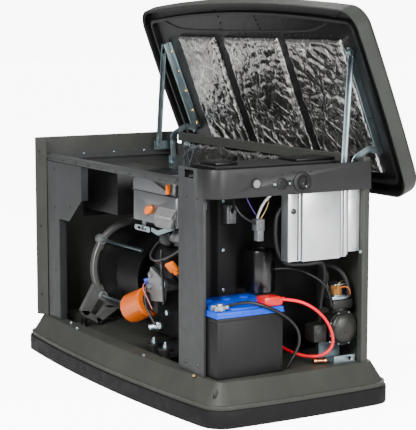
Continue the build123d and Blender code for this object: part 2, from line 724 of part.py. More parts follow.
def negative_cable():
    """Black battery cable to the earth point on the deck."""
    return cord("negative_cable", NEG_ROUTE, CABLE_R)


def positive_cable():
    """Red battery cable through the divider to the starter."""
    return cord("positive_cable", POS_ROUTE, CABLE_R)


def control_box():
    """Shallow control box with a bright front plate and side flanges."""
    body = block(BOX_BACK, 530, -4, 183, 412, 560)
    side = block(BOX_BACK, 530, -6, -4, 412, 640)
    plate = block(530, 533, 24, 184, 410, 655)
    left = block(526, 529, -10, 24, 425, 655) + block(526, 533, 22, 25, 425, 655)
    right = block(526, 529, 184, 225, 425, 560) + block(526, 533, 183, 186, 425, 560)
    return body + side + plate + left + right


def silencer():
    """Black intake silencer on the divider."""
    can = rod((CAN_X, CAN_Y, 308), (CAN_X, CAN_Y, 428), CAN_R)
    can = fillet(can.edges().filter_by(GeomType.CIRCLE), 7)
    stub = along_x(DIVIDER_X + 0.3, CAN_X - CAN_R + 6, CAN_Y, 368, 24)
    return can + stub


def regulator_body():
    """Cast gas regulator with its flange, upper body and second valve."""
    core = block(452, 500, 150, 222, 172, 246)
    flange = along_x(499.5, 512, REG_Y, REG_Z, 43)
    upper = block(458, 511.5, 150, 224, 246, 290)
    upper = fillet(upper.edges().filter_by(Axis.X), 6)
    valve = block(466, 520, 86, 132, 176, 228)
    valve = fillet(valve.edges().filter_by(Axis.X), 8)
    link = rod((485, 131, REG_Z), (485, 151, REG_Z), 12)
    return core + flange + upper + valve + link


def regulator_dome():
    """Domed cover of the regulator diaphragm."""
    dome = along_x(512.2, 530, REG_Y, REG_Z, 39)
    dome = fillet(dome.edges().group_by(Axis.X)[-1], 12)
    for i in range(8):
        turn = math.radians(22.5 + i * 45)
        y = REG_Y + 34.5 * math.cos(turn)
        z = REG_Z + 34.5 * math.sin(turn)
        dome = dome - along_x(526, 540, y, z, 2)
    return dome


def fuel_solenoid():
    """Fuel shut-off solenoid on the regulator."""
    base = block(470, 512, 150, 204, 290.2, 300)
    coil = block(472, 510, 154, 200, 299.5, 334)
    coil = fillet(coil.edges().filter_by(Axis.Z), 10)
    top = rod((491, 177, 333.5), (491, 177, 343), 9)
    return base + coil + top


def regulator_bracket():
    """Zinc foot bracket under the regulator."""
    foot = block(446, 522, 150, 222, BASE_TOP, BASE_TOP + 3)
    riser = block(519, 522, 150, 222, BASE_TOP, 134)
    back = block(446, 449, 150, 222, BASE_TOP, 171.7) + block(446, 498, 150, 222, 168.7, 171.7)
    bracket = foot + riser + back
    return bracket - along_x(515, 530, 204, 124, 5)


def fuel_hoses():
    """Thick fuel hose and thin breather hose."""
    return group([cord("fuel_hose", HOSE_ROUTE, 8), cord("breather_hose", BREATHER_ROUTE, 4)])


def wiring_loom():
    """Loom with two plugs on the divider."""
    plug_0 = block(DIVIDER_X + 0.3, 352, -92, -62, 500, 548)
    plug_1 = block(345.3, 366, -194, -164, 545, 580)
    plug_0 = fillet(plug_0.edges().filter_by(Axis.X), 4)
    plug_1 = fillet(plug_1.edges().filter_by(Axis.X), 4)
    return group([plug_0, plug_1, cord("wiring_loom", LOOM_ROUTE, 4)])


def panel_connectors():
    """Small and large round connectors on the band."""
    small = along_x(BAND_X + 0.2, BAND_X + 4, -45, 627, 16) - along_x(BAND_X + 2, BAND_X + 5, -45, 627, 11)
    ears = block(BAND_X + 0.2, BAND_X + 2.5, -72, -18, 618, 636)
    large = along_x(BAND_X + 0.2, BAND_X + 5, 19, 628, 28) - along_x(BAND_X + 2, BAND_X + 6, 19, 628, 22)
    large = large + along_x(BAND_X + 0.2, BAND_X + 4, 19, 628, 9)
    return group([small + ears, large])


def panel_latch():
    """Quarter-turn panel lock with a slot and an inner cam."""
    barrel = along_x(BAND_X - 12, BAND_X + 3, LOCK_Y, LOCK_Z, LOCK_R)
    slot = block(BAND_X + 1, BAND_X + 4, LOCK_Y - 1.5, LOCK_Y + 1.5, LOCK_Z - 7, LOCK_Z + 7)
    cam = block(BAND_X - 12, BAND_X - 9, LOCK_Y - 9, LOCK_Y + 9, LOCK_Z - 9, LOCK_Z + 26)
    return barrel + cam - slot


NODES = {
    "base_skirt": base_skirt,
    "base_pan": base_pan,
    "far_end_panel": far_end_panel,
    "back_panel": back_panel,
    "rear_foil_panel": rear_foil_panel,
    "front_frame_plate": front_frame_plate,
    "front_top_rail": front_top_rail,
    "far_top_rail": far_top_rail,
    "middle_post": middle_post,
    "divider_wall": divider_wall,
    "top_band": top_band,
    "top_tray": top_tray,
    "air_duct": air_duct,
    "hinge_brackets": hinge_brackets,
    "panel_screws": panel_screws,
    "rail_rivets": rail_rivets,
    "crankcase": crankcase,
    "cylinders": cylinders,
    "rocker_covers": rocker_covers,
    "cooling_shroud": cooling_shroud,
    "air_filter_housing": air_filter_housing,
    "intake_bowl": intake_bowl,
    "oil_filter": oil_filter,
    "starter_motor": starter_motor,
    "rubber_mounts": rubber_mounts,
    "muffler": muffler,
    "exhaust_pipe": exhaust_pipe,
    "alternator_can": alternator_can,
    "alternator_end_bell": alternator_end_bell,
    "alternator_stator": alternator_stator,
    "through_rods": through_rods,
    "crankshaft": crankshaft,
    "flywheel_fan": flywheel_fan,
    "alternator_rotor": alternator_rotor,
    "oil_filler_cap": oil_filler_cap,
    "oil_dipstick": oil_dipstick,
    "governor_lever": governor_lever,
    "battery_case": battery_case,
    "battery_lid": battery_lid,
    "battery_terminals": battery_terminals,
    "positive_cover": positive_cover,
    "negative_cable": negative_cable,
    "positive_cable": positive_cable,
    "control_box": control_box,
    "silencer": silencer,
    "regulator_body": regulator_body,
    "regulator_dome": regulator_dome,
    "fuel_solenoid": fuel_solenoid,
    "regulator_bracket": regulator_bracket,
    "fuel_hoses": fuel_hoses,
    "wiring_loom": wiring_loom,
    "panel_connectors": panel_connectors,
    "panel_latch": panel_latch,
}
LID_NODES = {
    "lid_shell": lid_shell,
    "lid_liner": lid_liner,
    "lid_pads": lid_pads,
    "hinge_arm_near": lambda: hinge_arm(1),
    "hinge_arm_far": lambda: hinge_arm(-1),
}

for node, make in NODES.items():
    write(make(), node)
for node, make in LID_NODES.items():
    write(opened(make()), node)
for node, side in (("stay_near", 1), ("stay_far", -1)):
    write(stay(side), node)
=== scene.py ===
import json
import logging
import math
from dataclasses import dataclass, field
from enum import Enum
from typing import Callable, Sequence

import bmesh
import bpy
from mathutils import Matrix, Vector, noise

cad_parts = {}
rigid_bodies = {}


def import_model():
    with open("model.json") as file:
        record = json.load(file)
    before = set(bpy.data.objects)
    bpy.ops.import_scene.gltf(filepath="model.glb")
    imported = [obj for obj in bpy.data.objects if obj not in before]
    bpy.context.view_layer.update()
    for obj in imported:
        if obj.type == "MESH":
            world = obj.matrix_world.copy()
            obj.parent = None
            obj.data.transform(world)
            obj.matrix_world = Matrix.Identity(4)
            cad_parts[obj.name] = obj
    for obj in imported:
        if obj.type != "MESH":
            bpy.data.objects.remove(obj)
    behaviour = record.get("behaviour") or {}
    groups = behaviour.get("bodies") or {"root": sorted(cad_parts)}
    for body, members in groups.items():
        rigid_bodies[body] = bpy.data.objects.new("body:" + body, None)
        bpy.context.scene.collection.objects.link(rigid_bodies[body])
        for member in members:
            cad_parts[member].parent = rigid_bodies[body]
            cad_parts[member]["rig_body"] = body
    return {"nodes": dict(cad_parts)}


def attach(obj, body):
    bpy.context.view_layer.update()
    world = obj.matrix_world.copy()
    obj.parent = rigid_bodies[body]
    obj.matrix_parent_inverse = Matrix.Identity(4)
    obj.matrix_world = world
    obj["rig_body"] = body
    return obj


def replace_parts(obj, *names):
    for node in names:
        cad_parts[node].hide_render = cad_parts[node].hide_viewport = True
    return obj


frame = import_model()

LOG = logging.getLogger("generator")
Point = tuple[float, float, float]
Colour = tuple[float, float, float]
Box = tuple[Point, Point, float]
Form = bmesh.types.BMesh
Thing = bpy.types.Object
Grid = Sequence[Sequence[bmesh.types.BMVert]]
FootRule = Callable[[Vector], Point]
EAST: Point = (1, 0, 0)
OUT: Point = (0, -1, 0)
UP: Point = (0, 0, 1)


def write_bounds() -> None:
    """Returns:
        None.
    """
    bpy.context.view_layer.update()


write_bounds()


# ------------------------------------------------------------------ shader graph
class Sock:
    """A node socket that can be used in sums."""

    def __init__(self, graph: "Graph", socket: bpy.types.NodeSocket) -> None:
        """Keep the socket and its graph.

        Args:
            graph: Graph that owns the socket.
            socket: Output socket.

        Returns:
            None.
        """
        self.graph = graph
        self.socket = socket

    def _math(self, operation: str, first: object, second: object) -> "Sock":
        """Add one Math node.

        Args:
            operation: Math operation name.
            first: First operand, a Sock or a number.
            second: Second operand, a Sock or a number.

        Returns:
            The node's result.
        """
        return self.graph.node("ShaderNodeMath", {"operation": operation}, {0: first, 1: second})

    def __add__(self, other: object) -> "Sock":
        """Return self + other. Args: other: operand. Returns: Sock."""
        return self._math("ADD", self, other)

    def __sub__(self, other: object) -> "Sock":
        """Return self - other. Args: other: operand. Returns: Sock."""
        return self._math("SUBTRACT", self, other)

    def __mul__(self, other: object) -> "Sock":
        """Return self * other. Args: other: operand. Returns: Sock."""
        return self._math("MULTIPLY", self, other)

    def __rmul__(self, other: object) -> "Sock":
        """Return other * self. Args: other: operand. Returns: Sock."""
        return self._math("MULTIPLY", other, self)

    def ramp(self, low: float, high: float, to_low: float = 0.0, to_high: float = 1.0) -> "Sock":
        """Map a range to another, clamped.

        Args:
            low: Start of the range.
            high: End of the range.
            to_low: Result at the start.
            to_high: Result at the end.

        Returns:
            The result socket.
        """
        return self.graph.node(
            "ShaderNodeMapRange", {"clamp": True},
            {"Value": self, "From Min": low, "From Max": high, "To Min": to_low, "To Max": to_high})


class Graph:
    """Builder for one material's nodes."""

    def __init__(self, name: str) -> None:
        """Start an empty material with a Principled surface.

        Args:
            name: Material name.

        Returns:
            None.
        """
        self.material = bpy.data.materials.new(name)
        self.material.use_nodes = True
        self.tree = self.material.node_tree
        self.tree.nodes.clear()
        self.surface = self.tree.nodes.new("ShaderNodeBsdfPrincipled")
        output = self.tree.nodes.new("ShaderNodeOutputMaterial")
        self.tree.links.new(self.surface.outputs[0], output.inputs[0])
        coords = self.tree.nodes.new("ShaderNodeTexCoord")
        self.place = Sock(self, coords.outputs["Object"])

    def put(self, socket: bpy.types.NodeSocket, value: object) -> None:
        """Link or set one input.

        Args:
            socket: Input socket.
            value: Sock, number, vector or colour.

        Returns:
            None.
        """
        if isinstance(value, Sock):
            self.tree.links.new(value.socket, socket)
        elif isinstance(value, (tuple, list)):
            size = len(socket.default_value)
            socket.default_value = tuple(value) + (1.0,) * (size - len(value))
        else:
            socket.default_value = value

    def node(self, kind: str, settings: dict[str, object], inputs: dict[object, object],
             output: object = 0) -> Sock:
        """Add a node from its type, settings and inputs.

        Args:
            kind: Blender node type.
            settings: Attributes to set on the node.
            inputs: Values by socket name or index.
            output: Output socket name or index.

        Returns:
            The chosen output.
        """
        made = self.tree.nodes.new(kind)
        for key, value in settings.items():
            setattr(made, key, value)
        for key, value in inputs.items():
            self.put(made.inputs[key], value)
        return Sock(self, made.outputs[output])

    def noise(self, scale: float, detail: float = 4.0, stretch: Point = (1, 1, 1)) -> Sock:
        """Noise in object coordinates.

        Args:
            scale: Cells per metre.
            detail: Octaves.
            stretch: Scale on each axis.

        Returns:
            Noise value between 0 and 1.
        """
        spot = self.node("ShaderNodeMapping", {}, {"Vector": self.place, "Scale": stretch})
        return self.node("ShaderNodeTexNoise", {}, {"Vector": spot, "Scale": scale, "Detail": detail})

    def cells(self, scale: float) -> Sock:
        """Voronoi distance to the nearest edge, in object coordinates.

        Args:
            scale: Cells per metre.

        Returns:
            Distance value.
        """
        return self.node("ShaderNodeTexVoronoi", {"feature": "DISTANCE_TO_EDGE"},
                         {"Vector": self.place, "Scale": scale}, "Distance")

    def blend(self, factor: object, first: object, second: object) -> Sock:
        """Mix two colours.

        Args:
            factor: Mix factor.
            first: Colour at 0.
            second: Colour at 1.

        Returns:
            The mixed colour.
        """
        made = self.tree.nodes.new("ShaderNodeMix")
        made.data_type = "RGBA"
        self.put(made.inputs[0], factor)
        self.put(made.inputs[6], first)
        self.put(made.inputs[7], second)
        return Sock(self, made.outputs[2])

    def bump(self, height: Sock, strength: float, distance: float) -> None:
        """Feed a bump to the surface's normal.

        Args:
            height: Height value.
            strength: Bump strength.
            distance: Height in metres at 1.

        Returns:
            None.
        """
        normal = self.node("ShaderNodeBump", {}, {"Strength": strength, "Distance": distance,
                                                  "Height": height})
        self.put(self.surface.inputs["Normal"], normal)

    def set(self, **values: object) -> None:
        """Set surface inputs by name, with _ for a space.

        Args:
            values: Input values.

        Returns:
            None.
        """
        for key, value in values.items():
            self.put(self.surface.inputs[key.replace("_", " ")], value)


class Grain(Enum):
    """Kinds of surface texture."""

    SMOOTH = "smooth"
    POWDER = "powder"
    MOULDED = "moulded"
    CAST = "cast"
    BRUSHED = "brushed"
    CRINKLED = "crinkled"


@dataclass(frozen=True)
class Finish:
    """One procedural finish.

    Attributes:
        name: Material name.
        colour: Base colour.
        roughness: Base roughness.
        metallic: Metallic value.
        grain: Kind of texture.
        coat: Coat weight.
        wear: How much tone varies over the surface.
        shine: Specular level.
    """

    name: str
    colour: Colour
    roughness: float = 0.5
    metallic: float = 0.0
    grain: Grain = Grain.SMOOTH
    coat: float = 0.0
    wear: float = 0.12
    shine: float = 0.5

    def build(self) -> bpy.types.Material:
        """Build the material.

        Args:
            None.

        Returns:
            The material.
        """
        title = self.name + "_finish"
        found = bpy.data.materials.get(title)
        if found:
            return found
        g = Graph(title)
        tone = g.noise(9.0, 5.0)
        shade = tuple(c * (1 - self.wear) for c in self.colour)
        light = tuple(min(1.0, c * (1 + self.wear)) for c in self.colour)
        g.set(Base_Color=g.blend(tone.ramp(0.35, 0.65), shade, light), Metallic=self.metallic,
              Coat_Weight=self.coat, Coat_Roughness=0.12, Specular_IOR_Level=self.shine)
        rough = g.noise(38.0, 3.0).ramp(0.3, 0.7, self.roughness * 0.88, min(1.0, self.roughness * 1.12))
        if self.grain is Grain.POWDER:
            g.bump(g.noise(1500.0, 2.0), 0.35, 0.0004)
        elif self.grain is Grain.MOULDED:
            g.bump(g.noise(900.0, 3.0) + 0.4 * g.noise(60.0, 2.0), 0.4, 0.0005)
        elif self.grain is Grain.CAST:
            g.bump(g.noise(420.0, 4.0) + 0.6 * g.noise(90.0, 3.0), 0.55, 0.0012)
        elif self.grain is Grain.BRUSHED:
            streak = g.noise(60.0, 3.0, (1.0, 1.0, 28.0))
            rough = rough + 0.12 * (streak - 0.5)
            g.bump(streak, 0.12, 0.0003)
        elif self.grain is Grain.CRINKLED:
            fold = g.cells(26.0).ramp(0.0, 0.28)
            fine = g.cells(70.0).ramp(0.0, 0.25)
            g.bump(0.5 * fold + 0.5 * fine + 0.5 * g.noise(22.0, 3.0), 0.42, 0.0014)
            # Painted highlight: the foil's colour is made lighter along the edges of large cells, like
            # creases catching the light; elsewhere it varies with noise and streaks.
            crease_highlight = g.cells(9.0).ramp(0.004, 0.022, 1.0, 0.0)
            streaks = g.noise(240.0, 3.0, (1.0, 0.35, 0.35)).ramp(0.40, 0.60, 0.35, 1.0)
            foil_tone_and_crease_highlight = g.noise(9.0, 3.0).ramp(0.36, 0.64, 0.45, 0.85) * streaks + crease_highlight
            g.set(Base_Color=g.blend(foil_tone_and_crease_highlight, (0.13, 0.12, 0.11), self.colour))
        g.set(Roughness=rough)
        return g.material


ENCLOSURE = Finish("enclosure_paint", (0.034, 0.036, 0.031), 0.45, 0.0, Grain.POWDER, shine=0.35)
LID_PAINT = Finish("lid_plastic", (0.034, 0.036, 0.032), 0.44, 0.0, Grain.MOULDED, shine=0.35)
FRAME_GRAY = Finish("frame_paint", (0.032, 0.033, 0.034), 0.46, 0.0, Grain.POWDER, shine=0.35)
BASE_GRAY = Finish("base_plastic", (0.036, 0.038, 0.032), 0.5, 0.0, Grain.MOULDED, shine=0.3)
BLACK = Finish("black_plastic", (0.0035, 0.0035, 0.0037), 0.36, 0.0, Grain.MOULDED, shine=0.3)
BAND = Finish("band_plastic", (0.0135, 0.0135, 0.014), 0.42, 0.0, Grain.POWDER, shine=0.35)
SKIRT_BLACK = Finish("skirt_plastic", (0.005, 0.005, 0.0055), 0.6, 0.0, Grain.MOULDED, shine=0.2)
# Partly real, partly painted shade: black-painted steel, darkened further to near black to stand in for the
# shade inside the enclosure.
DARK_STEEL_AND_SHADE = Finish("dark_steel", (0.0025, 0.0025, 0.0026), 0.36, 0.0, Grain.CAST, shine=0.25)
ZINC = Finish("zinc", (0.40, 0.50, 0.54), 0.32, 1.0, Grain.BRUSHED)
ALLOY = Finish("cast_alloy", (0.30, 0.31, 0.32), 0.45, 0.9, Grain.CAST)
CASE_DARK = Finish("case_dark", (0.014, 0.014, 0.0145), 0.45, 0.4, Grain.CAST, shine=0.3)
SHROUD = Finish("shroud_alloy", (0.20, 0.205, 0.21), 0.36, 0.8, Grain.POWDER)
ALTERNATOR = Finish("alternator_casting", (0.22, 0.22, 0.215), 0.45, 0.6, Grain.CAST)
ALUMINIUM = Finish("bright_aluminium", (0.74, 0.75, 0.77), 0.34, 0.85, Grain.BRUSHED)
FOIL = Finish("foil", (0.80, 0.79, 0.78), 0.2, 1.0, Grain.CRINKLED)
ORANGE = Finish("orange_plastic", (0.80, 0.155, 0.0), 0.38, 0.0, Grain.SMOOTH, 0.15, 0.08, 0.35)
FILTER_ORANGE = Finish("filter_paint", (0.66, 0.115, 0.0), 0.3, 0.0, Grain.SMOOTH, 0.35, 0.08, 0.35)
RUBBER = Finish("rubber", (0.005, 0.005, 0.005), 0.5, 0.0, Grain.SMOOTH, shine=0.35)
CABLE_BLACK = Finish("cable_black", (0.005, 0.005, 0.0052), 0.3, 0.0, Grain.SMOOTH)
BATTERY_BLACK = Finish("battery_case", (0.006, 0.006, 0.0062), 0.5, 0.0, Grain.MOULDED, shine=0.3)
BATTERY_BLUE = Finish("battery_blue", (0.0, 0.065, 0.62), 0.4, 0.0, Grain.SMOOTH, 0.05, 0.1, 0.3)
RED = Finish("red_plastic", (0.78, 0.0, 0.002), 0.34, 0.0, Grain.SMOOTH, 0.2, 0.1)
CABLE_RED = Finish("cable_red", (0.80, 0.006, 0.022), 0.34, 0.0, Grain.SMOOTH, 0.2, 0.08)
LEAD = Finish("lead", (0.45, 0.46, 0.48), 0.42, 0.9, Grain.CAST)
OLIVE = Finish("regulator_olive", (0.020, 0.020, 0.016), 0.3, 0.3, Grain.CAST)
REGULATOR = Finish("regulator_cast", (0.010, 0.010, 0.009), 0.42, 0.3, Grain.CAST)
COIL = Finish("coil", (0.05, 0.035, 0.02), 0.4, 0.0, Grain.SMOOTH)
SHAFT = Finish("shaft", (0.50, 0.51, 0.53), 0.28, 1.0, Grain.BRUSHED)
IRON = Finish("iron", (0.05, 0.05, 0.052), 0.5, 0.7, Grain.CAST)
BRASS = Finish("brass", (0.62, 0.42, 0.15), 0.3, 1.0, Grain.SMOOTH)
CHROME = Finish("chrome", (0.80, 0.81, 0.83), 0.12, 1.0, Grain.SMOOTH)
# Painted shade: the divider wall's colour is darkened to near black to stand in for the shade inside the
# enclosure.
INNER_SHADE = Finish("inner_shade", (0.0045, 0.0045, 0.0047), 0.48, 0.0, Grain.POWDER, shine=0.2)
DARK_SCREW = Finish("dark_screw", (0.05, 0.05, 0.052), 0.3, 0.8, Grain.SMOOTH)

CAD_FINISH: dict[str, Finish] = {
    "base_skirt": SKIRT_BLACK, "base_pan": BASE_GRAY, "far_end_panel": ENCLOSURE, "back_panel": ENCLOSURE,
    "middle_post": FRAME_GRAY, "front_frame_plate": FRAME_GRAY, "front_top_rail": FRAME_GRAY,
    "far_top_rail": FRAME_GRAY, "divider_wall": INNER_SHADE, "top_tray": BLACK, "rear_foil_panel": FOIL,
    "lid_pads": FOIL, "top_band": BAND, "air_duct": BLACK, "intake_bowl": BLACK, "silencer": BLACK,
    "lid_liner": BLACK, "lid_shell": LID_PAINT, "hinge_brackets": ZINC, "hinge_arm_near": ZINC,
    "hinge_arm_far": ZINC, "stay_near": ZINC, "stay_far": ZINC, "governor_lever": ZINC,
    "regulator_bracket": ZINC, "rail_rivets": ZINC, "through_rods": ZINC, "panel_screws": DARK_SCREW,
    "alternator_can": DARK_STEEL_AND_SHADE, "muffler": DARK_STEEL_AND_SHADE, "starter_motor": DARK_STEEL_AND_SHADE, "crankcase": CASE_DARK,
    "cylinders": CASE_DARK, "rocker_covers": ALLOY, "alternator_end_bell": ALTERNATOR,
    "alternator_stator": IRON,
    "alternator_rotor": IRON, "crankshaft": SHAFT, "exhaust_pipe": SHAFT, "flywheel_fan": IRON,
    "cooling_shroud": SHROUD, "air_filter_housing": SHROUD, "oil_filler_cap": ORANGE,
    "oil_dipstick": ORANGE, "oil_filter": FILTER_ORANGE, "rubber_mounts": RUBBER, "fuel_hoses": RUBBER,
    "wiring_loom": RUBBER, "battery_case": BATTERY_BLACK, "battery_lid": BATTERY_BLUE,
    "battery_terminals": LEAD, "positive_cover": RED, "positive_cable": RED, "negative_cable": CABLE_BLACK,
    "control_box": ALUMINIUM, "regulator_body": REGULATOR, "regulator_dome": OLIVE, "fuel_solenoid": COIL,
    "panel_connectors": BLACK, "panel_latch": CHROME,
}


# ------------------------------------------------------------------ camera, light and floor
@dataclass
class Studio:
    """Camera, lamps and floor.

    Attributes:
        eye: Camera position.
        tilt_deg: Camera angle from straight down.
        turn_deg: Camera heading.
        lens: Focal length in millimetres.
        aim: Point that the lamps face.
        floor_half: Half the floor's width.
        ambient: Sky level that lights the object.
        pale: Sky and floor level that the camera sees.
    """

    eye: Point = (3.7823, -2.2121, 1.0644)
    tilt_deg: float = 82.383
    turn_deg: float = 59.024
    lens: float = 124.57
    aim: Point = (0.1, 0, 0.55)
    floor_half: float = 30.0
    ambient: float = 0.34
    pale: float = 9.0

    def camera(self) -> None:
        """Place the camera.

        Args:
            None.

        Returns:
            None.
        """
        data = bpy.data.cameras.new("camera")
        data.lens = self.lens
        data.sensor_fit = "AUTO"
        data.sensor_width = 36
        camera = bpy.data.objects.new("camera", data)
        camera.location = self.eye
        camera.rotation_euler = (math.radians(self.tilt_deg), 0, math.radians(self.turn_deg))
        bpy.context.scene.collection.objects.link(camera)
        bpy.context.scene.camera = camera

    def lamp(self, name: str, place: Point, size: float, power: float) -> None:
        """Add a soft area lamp that faces the object.

        Args:
            name: Lamp name.
            place: Lamp position.
            size: Lamp width in metres.
            power: Lamp power in watts.

        Returns:
            None.
        """
        data = bpy.data.lights.new(name, "AREA")
        data.size = size
        data.energy = power
        lamp = bpy.data.objects.new(name, data)
        lamp.location = place
        way = Vector(self.aim) - Vector(place)
        lamp.rotation_euler = way.to_track_quat("-Z", "Y").to_euler()
        bpy.context.scene.collection.objects.link(lamp)

    def floor(self) -> None:
        """Add the pale floor and sky.

        Args:
            None.

        Returns:
            None.
        """
        mesh = bpy.data.meshes.new("floor")
        half = self.floor_half
        mesh.from_pydata([(-half, -half, 0), (half, -half, 0), (half, half, 0), (-half, half, 0)], [],
                         [(0, 1, 2, 3)])
        plane = bpy.data.objects.new("floor", mesh)
        g = Graph("floor")
        g.set(Base_Color=(0.9, 0.9, 0.9), Roughness=0.95, Emission_Color=(1, 1, 1))
        seen = g.node("ShaderNodeLightPath", {}, {}, "Is Camera Ray")
        g.set(Emission_Strength=seen * self.pale)
        mesh.materials.append(g.material)
        bpy.context.scene.collection.objects.link(plane)
        world = bpy.data.worlds.new("sky")
        world.use_nodes = True
        world.node_tree.nodes["Background"].inputs[0].default_value = (1, 1, 1, 1)
        sky = world.node_tree
        seen = sky.nodes.new("ShaderNodeLightPath")
        level = sky.nodes.new("ShaderNodeMapRange")
        level.inputs["To Min"].default_value = self.ambient
        level.inputs["To Max"].default_value = self.pale
        sky.links.new(seen.outputs["Is Camera Ray"], level.inputs["Value"])
        sky.links.new(level.outputs["Result"], sky.nodes["Background"].inputs[1])
        bpy.context.scene.world = world

    def build(self) -> None:
        """Build the studio.

        Args:
            None.

        Returns:
            None.
        """
        self.camera()
        self.lamp("key_lamp", (3.4, -4.2, 3.0), 1.5, 400)
        self.lamp("fill_lamp", (4.8, 0.6, 1.5), 1.5, 190)
        self.lamp("top_lamp", (0.6, -1.4, 4.0), 2.0, 150)
        self.lamp("back_lamp", (-3.0, 3.2, 2.6), 2.0, 90)
        self.floor()
        LOG.info("studio ready")


# ------------------------------------------------------------------ shared building helpers
MERGE = 1e-6
CAD_MERGE = 1e-5
FLAT_ANGLE = math.radians(0.6)
ROUNDED_ANGLE = math.radians(32)
SOFTENED_SHARP = math.radians(28)
LID_SWING_DEG = 68.5
LINER_Z = 0.7118
DECK_Z = 0.1142
BAND_X = 0.550
BAND_FACE = 0.5502
POINTED = 1e-7


def link(name: str, mesh: bpy.types.Mesh, body: str, finish: Finish) -> Thing:
    """Add a mesh as a piece that rides on a body.

    Args:
        name: Piece name.
        mesh: The mesh, in the row frame.
        body: CAD body that it rides on.
        finish: Its finish.

    Returns:
        The new object.
    """
    thing = bpy.data.objects.new(name, mesh)
    bpy.context.scene.collection.objects.link(thing)
    if not mesh.materials:
        mesh.materials.append(finish.build())
    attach(thing, body)
    return thing


def dress_cad(nodes: dict[str, Thing]) -> None:
    """Give every CAD node its finish.

    Args:
        nodes: CAD objects by node name.

    Returns:
        None.
    """
    for name, thing in nodes.items():
        material = CAD_FINISH[name].build()
        if thing.material_slots:
            for used in thing.material_slots:
                used.material = material
        else:
            thing.data.materials.append(material)


def soften(node: str, width: float, finish: Finish) -> Thing:
    """Stand a copy with rounded edges in for a CAD node.

    Args:
        node: CAD node name.
        width: Edge radius in metres.
        finish: Finish of the new piece.

    Returns:
        The new piece.
    """
    source = frame["nodes"][node]
    mesh = source.data.copy()
    mesh.materials.clear()
    form = bmesh.new()
    form.from_mesh(mesh)
    bmesh.ops.remove_doubles(form, verts=form.verts, dist=CAD_MERGE)
    bmesh.ops.dissolve_limit(form, angle_limit=FLAT_ANGLE, verts=form.verts, edges=form.edges)
    form.to_mesh(mesh)
    form.free()
    raw = bpy.data.objects.new(node + "_raw", mesh)
    bpy.context.scene.collection.objects.link(raw)
    bevel = raw.modifiers.new("edges", "BEVEL")
    bevel.width = width
    bevel.segments = 2
    bevel.limit_method = "ANGLE"
    bevel.angle_limit = ROUNDED_ANGLE
    bevel.harden_normals = False
    bpy.context.view_layer.update()
    made = bpy.data.meshes.new_from_object(raw.evaluated_get(bpy.context.evaluated_depsgraph_get()))
    bpy.data.objects.remove(raw)
    made.materials.clear()
    made.shade_smooth()
    made.set_sharp_from_angle(angle=SOFTENED_SHARP)
    piece = link(node + "_look", made, source["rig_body"], finish)
    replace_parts(piece, node)
    return piece


def solid(name: str, form: Form, finish: Finish, body: str = "enclosure", sharp_deg: float = 35.0) -> Thing:
    """Turn a bmesh into a shaded piece.

    Args:
        name: Piece name.
        form: Geometry in the row frame.
        finish: Its finish.
        body: CAD body that it rides on.
        sharp_deg: Least angle of a sharp edge.

    Returns:
        The new piece.
    """
    bmesh.ops.remove_doubles(form, verts=form.verts, dist=MERGE)
    bmesh.ops.recalc_face_normals(form, faces=form.faces)
    mesh = bpy.data.meshes.new(name)
    form.to_mesh(mesh)
    form.free()
    mesh.shade_smooth()
    mesh.set_sharp_from_angle(angle=math.radians(sharp_deg))
    return link(name, mesh, body, finish)


def stand_in(node: str, form: Form, finish: Finish, body: str = "enclosure",
             sharp_deg: float = 35.0) -> Thing:
    """Turn a bmesh into the piece that stands for a CAD node.

    Args:
        node: CAD node name.
        form: Geometry in the row frame.
        finish: Its finish.
        body: CAD body that it rides on.
        sharp_deg: Least angle of a sharp edge.

    Returns:
        The new piece.
    """
    piece = solid(node + "_look", form, finish, body, sharp_deg)
    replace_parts(piece, node)
    return piece


def lathe(form: Form, profile: Sequence[tuple[float, float]], place: Matrix, steps: int = 32) -> None:
    """Turn a profile of (radius, height) round the local Z axis into a closed form.

    Args:
        form: Target geometry.
        profile: Radius and height pairs from one pole to the other.
        place: Where the turned form stands.
        steps: Number of segments round.

    Returns:
        None.
    """
    rings = []
    for radius, height in profile:
        if radius < POINTED:
            rings.append([form.verts.new(place @ Vector((0, 0, height)))])
            continue
        turn = [2 * math.pi * i / steps for i in range(steps)]
        rings.append([form.verts.new(place @ Vector((radius * math.cos(t), radius * math.sin(t), height)))
                      for t in turn])
    for low, high in zip(rings, rings[1:]):
        for i in range(steps):
            j = (i + 1) % steps
            corners = [low[i % len(low)], low[j % len(low)], high[j % len(high)], high[i % len(high)]]
            unique = list(dict.fromkeys(corners))
            if len(unique) > 2:
                form.faces.new(unique)


def slab(form: Form, low: Point, high: Point, place: Matrix = Matrix.Identity(4),
         edge: float = 0.0015) -> None:
    """Add a block with bevelled edges.

    Args:
        form: Target geometry.
        low: Low corner.
        high: High corner.
        place: Where the block stands.
        edge: Bevel width.

    Returns:
        None.
    """
    part = bmesh.new()
    bmesh.ops.create_cube(part, size=1.0)
    size = [b - a for a, b in zip(low, high)]
    for vert in part.verts:
        vert.co = Vector([a + (c + 0.5) * d for a, c, d in zip(low, vert.co, size)])
    width = min(edge, 0.4 * min(size))
    bmesh.ops.bevel(part, geom=part.edges[:], offset=width, segments=2, profile=0.5, affect="EDGES")
    part.transform(place)
    mesh = bpy.data.meshes.new("slab")
    part.to_mesh(mesh)
    part.free()
    form.from_mesh(mesh)
    bpy.data.meshes.remove(mesh)


def blocks(form: Form, boxes: Sequence[Box]) -> Form:
    """Add several bevelled blocks.

    Args:
        form: Target geometry.
        boxes: Low corner, high corner and bevel width of each block.

    Returns:
        The same geometry.
    """
    for low, high, edge in boxes:
        slab(form, low, high, edge=edge)
    return form


